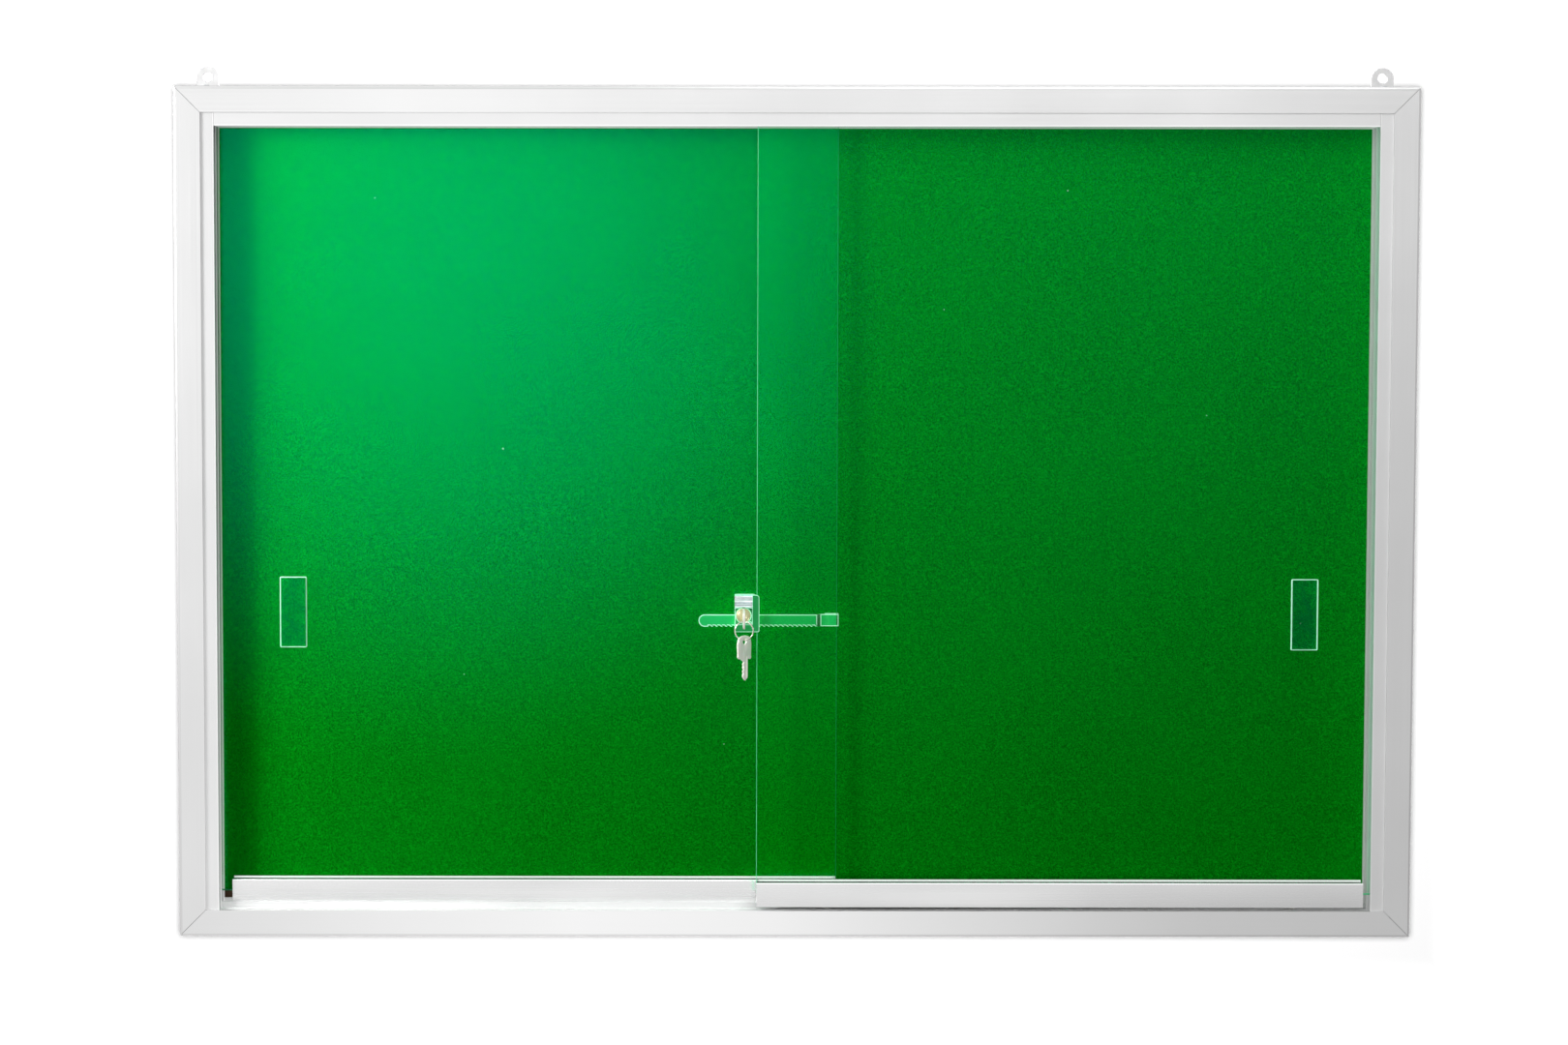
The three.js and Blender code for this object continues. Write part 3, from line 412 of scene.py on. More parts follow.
# Back panel and soft board
# A brown hardboard back in the frame's groove, smooth pressed wood fibre, and before it a
# soft fibreboard, loose and pale, that takes the pins.
def fibreboard(name, dark, light, strand_size, depth, rough, lines=()):
    """Pressed wood fibre: short strands lying any way, in patches of two tones."""
    made, tree, place = new_finish(name)
    strand = add(tree, "ShaderNodeTexNoise", {"Vector": place, "Scale": per(strand_size),
                                              "Detail": 6.0, "Distortion": 1.5})
    patch = add(tree, "ShaderNodeTexNoise", {"Vector": place, "Scale": per(91),
                                             "Detail": 3.0})
    tone = add(tree, "ShaderNodeMix", {0: strand, 6: dark, 7: light}, data_type="RGBA")
    worn = add(tree, "ShaderNodeMapRange", {"Value": patch, "From Min": 0.4,
                                            "From Max": 0.7, "To Max": 0.35})
    tone = add(tree, "ShaderNodeMix", {0: worn, 6: tone, 7: dark}, data_type="RGBA")
    axes = add(tree, "ShaderNodeSeparateXYZ", {0: place})
    tone = edge_lines(tree, axes, tone, lines)
    relief = add(tree, "ShaderNodeBump", {"Height": strand, "Strength": 0.5,
                                          "Distance": depth})
    show(tree, add(tree, "ShaderNodeBsdfPrincipled", {
        "Base Color": tone, "Roughness": rough, "Normal": relief}))
    return made


dress(fibreboard("hardboard", "65472D", "8F6C49", 2.5, 0.0002, 0.6), "back_panel")
# The soft board's foot is painted near black: painted shade in the gap below the felt's foot
dress(fibreboard("soft_fibreboard", "9C8560", "C9B48C", 1.8, 0.0004, 0.9,
                 lines=[("Z", -0.8, (0.013, 0.0135), "07140D", 0.95)]), "soft_board")


# Felt
# Green wool felt, 1 mm, pulled over the soft board and glued. Its nap shows as a fine grain
# of fibres, with faint ripples where it was pulled, and a few white specks of lint.
felt_half = 0.5894
felt_top = -0.0076
felt_foot = (-0.7870, -0.7940)
felt_front = -0.0145
felt_thick = 0.001
felt_steps = (300, 200)
nap_size, tuft_size, fade_size = 1.5625, 3.333, 200
ripple_depth, ripple_calm = 0.00022, 0.03

felt_cloth, tree, place = new_finish("green_wool_felt")
# Fibres are under 0.05 mm: they're drawn as clumps of 1.6 mm with finer grain in them, as
# coarse as shows. That makes the cloth dull and speckled
nap = add(tree, "ShaderNodeTexNoise", {"Vector": place, "Scale": per(nap_size),
                                       "Detail": 4.0, "Roughness": 0.75})
tuft = add(tree, "ShaderNodeTexNoise", {"Vector": place, "Scale": per(tuft_size),
                                        "Detail": 3.0, "Distortion": 1.0})
fade = add(tree, "ShaderNodeTexNoise", {"Vector": place, "Scale": per(fade_size),
                                        "Detail": 2.0})
grain = add(tree, "ShaderNodeMapRange", {"Value": nap, "From Min": 0.4, "From Max": 0.6})
tone = add(tree, "ShaderNodeMix", {0: grain, 6: "006408", 7: "00BC20"}, data_type="RGBA")
for blotch, start, full, most, colour in ((tuft, 0.42, 0.6, 0.35, "007406"),
                                          (fade, 0.4, 0.7, 0.15, "00AC24")):
    share = add(tree, "ShaderNodeMapRange", {"Value": blotch, "From Min": start,
                                             "From Max": full, "To Max": most})
    tone = add(tree, "ShaderNodeMix", {0: share, 6: tone, 7: colour}, data_type="RGBA")
relief = add(tree, "ShaderNodeBump", {"Height": tuft, "Strength": 0.5, "Distance": 0.0008})
relief = add(tree, "ShaderNodeBump", {"Height": nap, "Strength": 0.9, "Distance": 0.0008,
                                      "Normal": relief})
show(tree, add(tree, "ShaderNodeBsdfPrincipled", {
    "Base Color": tone, "Roughness": 0.95, "Normal": relief,
    "Sheen Weight": 0.1, "Sheen Roughness": 0.5, "Sheen Tint": "009C50",
    "Specular IOR Level": 0.03}))


def felt_ripple(x, z):
    """How far the felt stands off its board: ripples of about 9 and 3 cm and a few creases,
    and none at its edges."""
    rim = min(felt_half - abs(x), felt_top - z, z - felt_foot[0]) / ripple_calm
    calm = max(0.0, min(1.0, rim))
    slow = noise.noise((x * 11 + z * 5, z * 16, 0.0))
    quick = noise.noise((x * 34, z * 47 + x * 20, 7.0))
    crease = max(0.0, 1 - abs(noise.noise((x * 6, z * 2.2, 3.0))) * 14)
    return ripple_depth * calm * (1.2 * slow + 0.35 * quick + 0.5 * crease)


shape = bmesh.new()
columns, lines = felt_steps
grid = []
for i in range(columns + 1):
    x = felt_half * (2 * i / columns - 1)
    foot = felt_foot[0] + (felt_foot[1] - felt_foot[0]) * i / columns
    heights = [felt_top + (foot - felt_top) * j / lines for j in range(lines + 1)]
    grid.append([shape.verts.new((x, felt_front - felt_ripple(x, z), z)) for z in heights])
for i in range(columns):
    for j in range(lines):
        shape.faces.new((grid[i][j], grid[i][j + 1], grid[i + 1][j + 1], grid[i + 1][j]))
shape.normal_update()


def bake(piece):
    """Turns a piece's modifiers into plain mesh."""
    bpy.context.view_layer.update()
    shown = piece.evaluated_get(bpy.context.evaluated_depsgraph_get())
    plain = bpy.data.meshes.new_from_object(shown)
    piece.modifiers.clear()
    piece.data = plain
    return piece


felt = mesh_piece("felt", shape, felt_cloth)
cut = felt.modifiers.new("thickness", "SOLIDIFY")
cut.thickness = felt_thick
cut.offset = -1.0
bake(felt)
felt.data.shade_smooth()
felt.data.set_sharp_from_angle(angle=math.radians(40))
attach(felt, "frame")
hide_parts("felt_cover")


# Lint
# Specks of white cotton lint that cling to the nap, each a tiny curled tuft of matt thread.
# They lie here and there, the larger ones by the middle and the lower right.
lint_places = [(-0.2905, -0.344, 1.0), (0.506, -0.518, 0.9), (0.270, -0.087, 0.7),
               (-0.417, -0.095, 0.6), (0.148, -0.205, 0.5), (-0.07, -0.64, 0.5),
               (0.41, -0.31, 0.45), (-0.33, -0.57, 0.45)]
lint_size, lint_thread = 0.0011, 0.00013
lint_curls, curl_points = 3, 7

# Cotton is matt, and white with a trace of the green beneath
cotton, tree, place = new_finish("white_cotton_lint")
fuzz = add(tree, "ShaderNodeTexNoise", {"Vector": place, "Scale": per(0.25)})
tone = add(tree, "ShaderNodeMix", {0: fuzz, 6: "CFE6D6", 7: "FFFFFF"}, data_type="RGBA")
show(tree, add(tree, "ShaderNodeBsdfPrincipled", {"Base Color": tone, "Roughness": 0.9}))


def wire_piece(name, paths, radius, finish, sides=1):
    """Round wires that follow lists of points, as one mesh."""
    bent = bpy.data.curves.new(name, "CURVE")
    bent.dimensions = "3D"
    bent.bevel_depth = radius
    bent.bevel_resolution = sides
    bent.use_fill_caps = True
    for path in paths:
        run = bent.splines.new("POLY")
        run.points.add(len(path) - 1)
        for point, at in zip(run.points, path):
            point.co = (*at, 1)
    drawn = bpy.data.objects.new(name, bent)
    bpy.context.scene.collection.objects.link(drawn)
    bpy.context.view_layer.update()
    plain = bpy.data.meshes.new_from_object(
        drawn.evaluated_get(bpy.context.evaluated_depsgraph_get()))
    bpy.data.objects.remove(drawn)
    made = bpy.data.objects.new(name, plain)
    bpy.context.scene.collection.objects.link(made)
    plain.materials.clear()
    plain.materials.append(finish)
    plain.shade_smooth()
    return made


random.seed(11)
curls = []
for x, z, size in lint_places:
    for _ in range(lint_curls):
        turn = random.uniform(0, math.tau)
        curl = []
        for k in range(curl_points):
            reach = lint_size * size * random.uniform(0.3, 1.0)
            turn += random.uniform(0.6, 1.4)
            curl.append((x + reach * math.cos(turn), felt_front - lint_thread * (2 + k % 3),
                         z + reach * math.sin(turn)))
        curls.append(curl)
lint = wire_piece("lint", curls, lint_thread, cotton)
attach(lint, "frame")


# Channels and tracks
# Aluminium extrusions that line the frame: double channels at the sides and the top, and a
# double track with a divider at the foot, on which the doors roll. Their rims carry painted
# highlights.
strip_edge = 0.5711
# Painted light and shade: the left channel is painted darker towards its top and given a glow
# towards its foot, the right channel a glow all over, the top track a faint glow left of its
# middle and darker paint at its left end, and the bottom track a glow over its left part
dress(anodised("anodised_left_channel", "Z", colour="F0F0F0", metal=0.6,
               lines=[("Z", 0.0, (0.05, 0.5), "C4C4C4", 0.5)],
               painted_glows=[("X", -strip_edge, (0.0004, 0.0010), 0.3),
                      ("Z", -0.85, (0.1, 0.5), 0.12)]), "left_channel")
dress(anodised("anodised_right_channel", "Z", colour="F0F0F0", metal=0.6, dust_and_painted_glow=0.1,
               painted_glows=[("X", strip_edge, (0.0004, 0.0010), 0.12)]), "right_channel")
dress(anodised("anodised_top_track", "X", colour="F0F0F0",
               painted_glows=[("Z", -0.0256, (0.0004, 0.0010), 0.3),
                      ("X", -0.3, (0.1, 0.4), 0.06)],
               lines=[("X", -frame_half, (0.0, 0.25), "C8C8C8", 0.5)]), "top_track")
dress(anodised("anodised_bottom_track", "X", colour="FAFAFA", metal=0.3,
               painted_glows=[("X", -0.33, (0.27, 0.3), 0.24)]), "bottom_track")


# Door panes
# Float glass, 5 mm, clear with a trace of green. Its rims are ground, and they gather the
# light that runs inside the pane; their pale mint glow is painted light, given by a pale
# colour and, on the front pane, an emission.
arris = 0.00035


def ring_of(points):
    """Corners (a, b, radius) as a closed line of points, with an arc at each radius."""
    line = []
    for place, (a, b, *radius) in enumerate(points):
        radius = radius[0] if radius else 0
        if not radius:
            line.append((a, b))
            continue
        here = Vector((a, b))
        ways = [(Vector(points[(place + step) % len(points)][:2]) - here).normalized()
                for step in (-1, 1)]
        open_angle = ways[0].angle(ways[1])
        reach = radius / math.tan(open_angle / 2)
        centre = here + (ways[0] + ways[1]).normalized() * radius / math.sin(open_angle / 2)
        first, last = (here + way * reach - centre for way in ways)
        sweep = math.atan2(first.x * last.y - first.y * last.x, first.dot(last))
        steps = max(2, round(abs(sweep) / math.radians(15)))
        for step in range(steps + 1):
            turn = Matrix.Rotation(sweep * step / steps, 2)
            line.append(tuple(centre + turn @ first))
    return line


def swept(name, line, at, start, end, *finishes):
    """The solid that a closed line sweeps. at turns (a, b, along) into a point."""
    shape = bmesh.new()
    first, last = ([shape.verts.new(at(a, b, along)) for a, b in line]
                   for along in (start, end))
    shape.faces.new(first[::-1])
    shape.faces.new(last)
    for k in range(len(line)):
        after = (k + 1) % len(line)
        shape.faces.new((first[k], first[after], last[after], last[k]))
    bmesh.ops.recalc_face_normals(shape, faces=shape.faces)
    return mesh_piece(name, shape, *finishes)


def plate(name, line, back, front, *finishes):
    """A piece cut from a plate: a line drawn in X and Z, from one depth to another."""
    return swept(name, line, lambda a, b, along: (a, along, b), back, front, *finishes)


def corners(left, right, low, high, *radius):
    """The corners of an upright rectangle, each with the radius if one is given."""
    return [(left, low, *radius), (right, low, *radius), (right, high, *radius),
            (left, high, *radius)]


def finished(piece, rim=0.0, steps=2, cuts=(), smooth=35):
    """Cuts holes in a piece, rounds its sharp rims and shades it smooth between them."""
    for tool in cuts:
        hole = piece.modifiers.new("cut", "BOOLEAN")
        hole.operation = "DIFFERENCE"
        hole.solver = "EXACT"
        hole.object = tool
    if rim:
        edge = piece.modifiers.new("rim", "BEVEL")
        edge.width = rim
        edge.segments = steps
        edge.limit_method = "ANGLE"
        edge.angle_limit = math.radians(40)
    bake(piece)
    for tool in cuts:
        bpy.data.objects.remove(tool)
    piece.data.shade_smooth()
    piece.data.set_sharp_from_angle(angle=math.radians(smooth))
    return piece


def clear_plate(name, line, back, front, faces, rims, rim):
    """A clear plate with its edges ground: one finish for its faces, one for its rims."""
    made = plate(name, line, back, front, faces, rims)
    finished(made, rim=rim, steps=1, smooth=20)
    for face in made.data.polygons:
        face.material_index = 0 if abs(face.normal.y) > 0.99 else 1
    return made


def clear_sheet(name, tint, dust_and_painted_glow_colour, dust_and_painted_glow, mirror=0.034, veil="FFFFFF", clean=()):
    """A clear flat pane: it passes light, mirrors a little of the room, and its dust catches
    the lamps. The dust's colour is a strong green: painted light that stands in for a green
    veil of light in the glass. mirror is the share it mirrors when seen straight on. clean
    gives edges beyond which there's no dust: axis, from, to."""
    made, tree, place = new_finish(name)
    smear = add(tree, "ShaderNodeTexNoise", {"Vector": place, "Scale": per(111),
                                             "Detail": 4.0})
    passing = add(tree, "ShaderNodeBsdfTransparent", {"Color": tint})
    shine = add(tree, "ShaderNodeBsdfGlossy", {"Color": veil, "Roughness": 0.0})
    # Both faces of the pane mirror alike, which a Fresnel node on a back face wouldn't give
    facing = add(tree, "ShaderNodeLayerWeight", {"Blend": 0.5})
    steep = add(tree, "ShaderNodeMath", {0: facing.outputs["Facing"], 1: 5.0},
                operation="POWER")
    share = add(tree, "ShaderNodeMapRange", {"Value": steep, "To Min": mirror,
                                             "To Max": 1.0})
    pane = add(tree, "ShaderNodeMixShader", {0: share, 1: passing, 2: shine})
    dust = add(tree, "ShaderNodeBsdfDiffuse", {"Color": dust_and_painted_glow_colour})
    much = add(tree, "ShaderNodeMapRange", {"Value": smear, "To Min": dust_and_painted_glow * 0.7,
                                            "To Max": dust_and_painted_glow * 1.3})
    axes = add(tree, "ShaderNodeSeparateXYZ", {0: place})
    for axis, dusty, wiped in clean:
        inner = add(tree, "ShaderNodeMapRange", {"Value": axes.outputs[axis],
                                                 "From Min": dusty, "From Max": wiped,
                                                 "To Min": 1.0, "To Max": 0.0})
        much = add(tree, "ShaderNodeMath", {0: much, 1: inner}, operation="MULTIPLY")
    show(tree, add(tree, "ShaderNodeMixShader", {0: much, 1: pane, 2: dust}))
    return made


def glowing_rim(name, dark, light, rough, gain=0.0):
    """A ground rim of glass or acrylic, which scatters the light that it gathers. That light
    is
    painted: the colours are pale, and gain sets an emission of them.
    """
    made, tree, place = new_finish(name)
    grind = add(tree, "ShaderNodeTexNoise", {"Vector": place, "Scale": per(1.11),
                                             "Detail": 3.0})
    broad = add(tree, "ShaderNodeTexNoise", {"Vector": place, "Scale": per(25),
                                             "Detail": 2.0})
    tone = add(tree, "ShaderNodeMix", {0: broad, 6: dark, 7: light}, data_type="RGBA")
    relief = add(tree, "ShaderNodeBump", {"Height": grind, "Strength": 0.3,
                                          "Distance": 0.0001})
    show(tree, add(tree, "ShaderNodeBsdfPrincipled", {
        "Base Color": tone, "Roughness": rough, "Normal": relief,
        "Specular IOR Level": 0.15, "Emission Color": tone, "Emission Strength": gain}))
    return made


glass_faces = {
    "rear": clear_sheet("float_glass_rear", "FCFFFD", "00FF18", 0.05, veil="00FFBC",
                        clean=[("Z", -0.7705, -0.7713)]),
    "front": clear_sheet("float_glass_front", "FCFFFD", "00FF18", 0.055, mirror=0.02,
                         veil="00FFBC", clean=[("X", 0.5634, 0.5640),
                                               ("Z", -0.7676, -0.7682)])}
glass_rims = {
    "rear": glowing_rim("ground_glass_rim_rear", "0A8A54", "2FA878", 0.35),
    "front": glowing_rim("ground_glass_rim_front", "2BB076", "7FE0B6", 0.35, gain=0.15)}
for door in ("rear", "front"):
    low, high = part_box(door + "_glass")
    pane = clear_plate(door + "_pane", corners(low.x, high.x, low.z, high.z), low.y, high.y,
                       glass_faces[door], glass_rims[door], arris)
    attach(pane, door + "_door")
    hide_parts(door + "_glass")


# Shoes
# Each pane stands in an aluminium shoe, pressed on with a rubber strip. The shoe is the
# door's lower rail, and hides the two nylon rollers that it runs on.
shoe_half, slot_half = 0.0048, 0.0033
shoe_foot, shoe_web, shoe_tops = -0.7985, (-0.7882, -0.7867), (-0.7725, -0.7740)
shoe_brow, shoe_corner, shoe_rim = 0.0012, 0.0006, 0.0003
# Painted light on the shoes: painted highlights along their top edges, and a glow that
# brightens each shoe towards its right end
for door, middle, dim_end, lift in (("rear", -0.023175, (0.07, 0.3), 0.3),
                                    ("front", -0.035325, (0.0, 0.4), 0.24)):
    low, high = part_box(door + "_shoe")
    shoe_finish = anodised("anodised_shoe_" + door, "X", colour="EBEBEB", rough=0.26, painted_glows=[
        ("Z", shoe_tops[1], (0.0006, 0.0012), 0.3),
        ("Z", shoe_tops[0], (0.0003, 0.0006), 0.4), ("X", high.x, dim_end, lift)])
    line = ring_of([
        (shoe_half, shoe_foot), (shoe_half, shoe_tops[0], shoe_corner),
        (slot_half, shoe_tops[0]), (slot_half, shoe_web[1]), (-slot_half, shoe_web[1]),
        (-slot_half, shoe_tops[1]), (-shoe_half, shoe_tops[1], shoe_brow),
        (-shoe_half, shoe_foot, shoe_corner), (-slot_half, shoe_foot),
        (-slot_half, shoe_web[0]), (slot_half, shoe_web[0]), (slot_half, shoe_foot)])
    rail = swept(door + "_rail", line, lambda a, b, along: (along, middle + a, b), low.x,
                 high.x, shoe_finish)
    finished(rail, rim=shoe_rim)
    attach(rail, door + "_door")
    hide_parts(door + "_shoe")

dress(grained("grey_rubber", "7E807F", "A3A5A4", 1, 0.6), "rear_gasket", "front_gasket")
dress(grained("white_nylon", "DEDCD6", "F1EFEA", 2, 0.45), "rear_roller", "front_roller")
dress(grained("zinc_plated_steel", "9A9EA2", "C9CDD0", 0.8, 0.3, metal=1.0), "rear_axle",
      "front_axle", "hanger_screw", "channel_screw", "pawl_spring", "lock_pawl")


# Finger pulls
# A clear acrylic plate stuck on each pane, to push the door by. Its cut rims are frosted,
# with a painted glow for the light they catch, and the adhesive behind it shows in faint
# blotches.
pull_radius = 0.0012
pull_rim = 0.0007
pad_inset, pad_gap, pad_thick = 0.0018, 0.00005, 0.0002
acrylic = clear_sheet("clear_acrylic", "FAFFFC", "00E878", 0.05, mirror=0.02, veil="00FFBC")
acrylic_rim = glowing_rim("frosted_acrylic_rim", "9BEBC9", "E9FFF7", 0.4, gain=0.25)

# The adhesive is clear where it wets the glass, and shows as darker green blotches
pad_finish, tree, place = new_finish("clear_adhesive")
blotch = add(tree, "ShaderNodeTexNoise", {"Vector": place, "Scale": per(10.53),
                                          "Detail": 4.0, "Distortion": 0.6})
much = add(tree, "ShaderNodeMapRange", {"Value": blotch, "From Min": 0.45, "From Max": 0.7,
                                        "To Min": 0.02, "To Max": 0.4})
passing = add(tree, "ShaderNodeBsdfTransparent")
gum = add(tree, "ShaderNodeBsdfDiffuse", {"Color": "006E30"})
show(tree, add(tree, "ShaderNodeMixShader", {0: much, 1: passing, 2: gum}))

for door in ("rear", "front"):
    low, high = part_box(door + "_finger_pull")
    pull_line = ring_of(corners(low.x, high.x, low.z, high.z, pull_radius))
    pull = clear_plate(door + "_pull", pull_line, low.y, high.y, acrylic, acrylic_rim,
                       pull_rim)
    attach(pull, door + "_door")
    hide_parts(door + "_finger_pull")
    pad_line = corners(low.x + pad_inset, high.x - pad_inset, low.z + pad_inset,
                       high.z - pad_inset)
    pad = plate(door + "_pull_pad", pad_line, high.y + pad_gap,
                high.y + pad_gap + pad_thick, pad_finish)
    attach(pad, door + "_door")


# Ratchet bar
# A toothed strip of plated steel that is hooked round the rear pane's right edge. Its flat
# face is painted green, as all the lock's flat faces are: a painted reflection of the green
# round it. Its stamped rims carry painted mint highlights.
bar_left, bar_joggle, bar_flat, bar_end = -0.0956, 0.0219, 0.0255, 0.0436
bar_high, bar_low = -0.5075, -0.5195
bar_thick = 0.0013
bar_back = -0.030555
hook_front, hook_back, hook_leg, hook_round = -0.027275, -0.019075, 0.0303, 0.0008
bar_rim, bar_arris, bend_slack, tooth_reach = 0.0008, 0.0002, 0.0004, 0.003
end_steps = 12
facing_viewer = -0.985
tooth_count, tooth_first, tooth_pitch, tooth_deep = 23, -0.0859, 0.0047, 0.0013
tooth_flat, tooth_slope, tool_depth = 0.4, 0.3, 0.01


def painted_green_reflection(name, dark, light, rough, metal, lines=()):
    """Polished plating painted green: a painted reflection of the green round it."""
    made, tree, place = new_finish(name)
    broad = add(tree, "ShaderNodeTexNoise", {"Vector": place, "Scale": per(16.7),
                                             "Detail": 2.0})
    scuff = add(tree, "ShaderNodeTexNoise", {"Vector": place, "Scale": per(0.667),
                                             "Detail": 2.0})
    tone = add(tree, "ShaderNodeMix", {0: broad, 6: dark, 7: light}, data_type="RGBA")
    axes = add(tree, "ShaderNodeSeparateXYZ", {0: place})
    tone = edge_lines(tree, axes, tone, lines)
    matt = add(tree, "ShaderNodeMapRange", {"Value": scuff, "To Min": rough * 0.7,
                                            "To Max": rough * 1.4})
    show(tree, add(tree, "ShaderNodeBsdfPrincipled", {"Base Color": tone, "Metallic": metal,
                                                      "Roughness": matt}))
    return made


bar_face = painted_green_reflection("plating_painted_reflection_bar", "00CE62", "00E072", 0.4, 0.0, [
    ("X", 0.0420, (0.0004, 0.0009), "064A24", 0.9)])
plate_face = painted_green_reflection("plating_painted_reflection", "009A48", "00B058", 0.4, 0.0)
bend_face = painted_green_reflection("plating_painted_reflection_bend", "2E5A44", "7FA894", 0.25, 0.5)
# Painted highlight: a pale mint colour and a glow on the stamped rims
painted_highlight_rim = glowing_rim("stamped_rim_painted_highlight", "8CF5C4", "D8FFEC", 0.3, gain=0.45)

round_end = (bar_high - bar_low) / 2
bar_middle = (bar_high + bar_low) / 2
line = [(bar_joggle, bar_low), (bar_joggle, bar_high)]
for step in range(end_steps + 1):
    turn = math.pi / 2 + math.pi * step / end_steps
    line.append((bar_left + round_end + round_end * math.cos(turn),
                 bar_middle + round_end * math.sin(turn)))
strip = plate("ratchet_bar", line, bar_back, bar_back - bar_thick, bar_face, painted_highlight_rim,
              bend_face)


def node_group(name, sockets):
    """An empty Geometry Nodes tree, its inputs by name, and where they come in."""
    made = bpy.data.node_groups.new(name, "GeometryNodeTree")
    named = {}
    for socket, kind in sockets:
        named[socket] = made.interface.new_socket(socket, in_out="INPUT",
                                                  socket_type="NodeSocket" + kind)
    made.interface.new_socket("Geometry", in_out="OUTPUT", socket_type="NodeSocketGeometry")
    return made, named, add(made, "NodeGroupInput")


def grow(piece, group, named, values):
    """Runs a Geometry Nodes tree on a piece, and leaves plain mesh."""
    made = piece.modifiers.new(group.name, "NODES")
    made.node_group = group
    for name, value in values.items():
        made[named[name].identifier] = value
    return bake(piece)


# The teeth: at each pitch a notch is cut into the strip's lower edge. One block makes its
# flat, and a tipped one its slope
teeth, named, given = node_group("ratchet_teeth", [
    ("Geometry", "Geometry"), ("Count", "Int"), ("First", "Vector"), ("Pitch", "Float"),
    ("Flat", "Float"), ("Slope", "Float"), ("Depth", "Float"), ("Material", "Material")])
flat, slope, deep = (given.outputs[name] for name in ("Flat", "Slope", "Depth"))
tall = add(teeth, "ShaderNodeMath", {0: deep, 1: 2.0}, operation="MULTIPLY")
level_size = add(teeth, "ShaderNodeCombineXYZ", {0: flat, 1: tool_depth, 2: tall})
level_block = add(teeth, "GeometryNodeMeshCube", {"Size": level_size})
half_flat = add(teeth, "ShaderNodeMath", {0: flat, 1: 0.5}, operation="MULTIPLY")
level_place = add(teeth, "ShaderNodeCombineXYZ", {0: half_flat})
level_block = add(teeth, "GeometryNodeTransform", {"Geometry": level_block,
                                                   "Translation": level_place})
slant = add(teeth, "ShaderNodeMath", {0: deep, 1: slope}, operation="ARCTAN2")
square = add(teeth, "ShaderNodeMath", {0: deep, 1: deep}, operation="MULTIPLY")
square = add(teeth, "ShaderNodeMath", {0: slope, 1: slope, 2: square},
             operation="MULTIPLY_ADD")
fall = add(teeth, "ShaderNodeMath", {0: square}, operation="SQRT")
tipped_size = add(teeth, "ShaderNodeCombineXYZ", {0: fall, 1: tool_depth, 2: tall})
tipped_block = add(teeth, "GeometryNodeMeshCube", {"Size": tipped_size})
middle = add(teeth, "ShaderNodeMath", {0: slope, 1: 0.5, 2: flat}, operation="MULTIPLY_ADD")
back = add(teeth, "ShaderNodeMath", {0: slant}, operation="SINE")
back = add(teeth, "ShaderNodeMath", {0: deep, 1: back}, operation="MULTIPLY")
middle = add(teeth, "ShaderNodeMath", {0: middle, 1: back}, operation="SUBTRACT")
drop = add(teeth, "ShaderNodeMath", {0: slant}, operation="COSINE")
drop = add(teeth, "ShaderNodeMath", {0: 0.5, 1: drop}, operation="SUBTRACT")
drop = add(teeth, "ShaderNodeMath", {0: deep, 1: drop}, operation="MULTIPLY")
tipped_place = add(teeth, "ShaderNodeCombineXYZ", {0: middle, 2: drop})
tipping = add(teeth, "ShaderNodeCombineXYZ", {1: slant})
tipped_block = add(teeth, "GeometryNodeTransform", {"Geometry": tipped_block,
                                                    "Translation": tipped_place,
                                                    "Rotation": tipping})
notch = add(teeth, "GeometryNodeJoinGeometry")
for block in (level_block, tipped_block):
    teeth.links.new(block.outputs[0], notch.inputs[0])
onward = add(teeth, "ShaderNodeCombineXYZ", {0: given.outputs["Pitch"]})
row = add(teeth, "GeometryNodeMeshLine", {"Count": given.outputs["Count"],
                                          "Start Location": given.outputs["First"],
                                          "Offset": onward})
placed = add(teeth, "GeometryNodeInstanceOnPoints", {"Points": row, "Instance": notch})
real = add(teeth, "GeometryNodeRealizeInstances", {"Geometry": placed})
notched = add(teeth, "GeometryNodeMeshBoolean", {"Mesh 1": given.outputs["Geometry"],
                                                 "Mesh 2": real, "Self Intersection": True},
              operation="DIFFERENCE", solver="EXACT")
coated = add(teeth, "GeometryNodeSetMaterial", {"Geometry": notched,
                                                "Material": given.outputs["Material"]})
add(teeth, "NodeGroupOutput", {"Geometry": coated})
grow(strip, teeth, named, {
    "Count": tooth_count, "First": (tooth_first, bar_back, bar_low), "Pitch": tooth_pitch,
    "Flat": tooth_flat * tooth_pitch, "Slope": tooth_slope * tooth_pitch,
    "Depth": tooth_deep, "Material": bar_face})

front, inner = bar_back - bar_thick, bar_end - bar_thick
line = ring_of([
    (bar_joggle - bar_thick, front), (bar_joggle, front), (bar_flat, hook_front),
    (bar_end, hook_front, hook_round), (bar_end, hook_back, hook_round), (hook_leg, hook_back),
    (hook_leg, hook_back - bar_thick), (inner, hook_back - bar_thick),
    (inner, hook_front + bar_thick), (bar_flat, hook_front + bar_thick),
    (bar_joggle, bar_back), (bar_joggle - bar_thick, bar_back)])
hook = swept("hook", line, lambda a, b, along: (a, b, along), bar_low, bar_high)


def weld(piece, other):
    """Joins another piece into this one."""
    joined = piece.modifiers.new("weld", "BOOLEAN")
    joined.operation = "UNION"
    joined.solver = "EXACT"
    joined.object = other
    bake(piece)
    bpy.data.objects.remove(other)


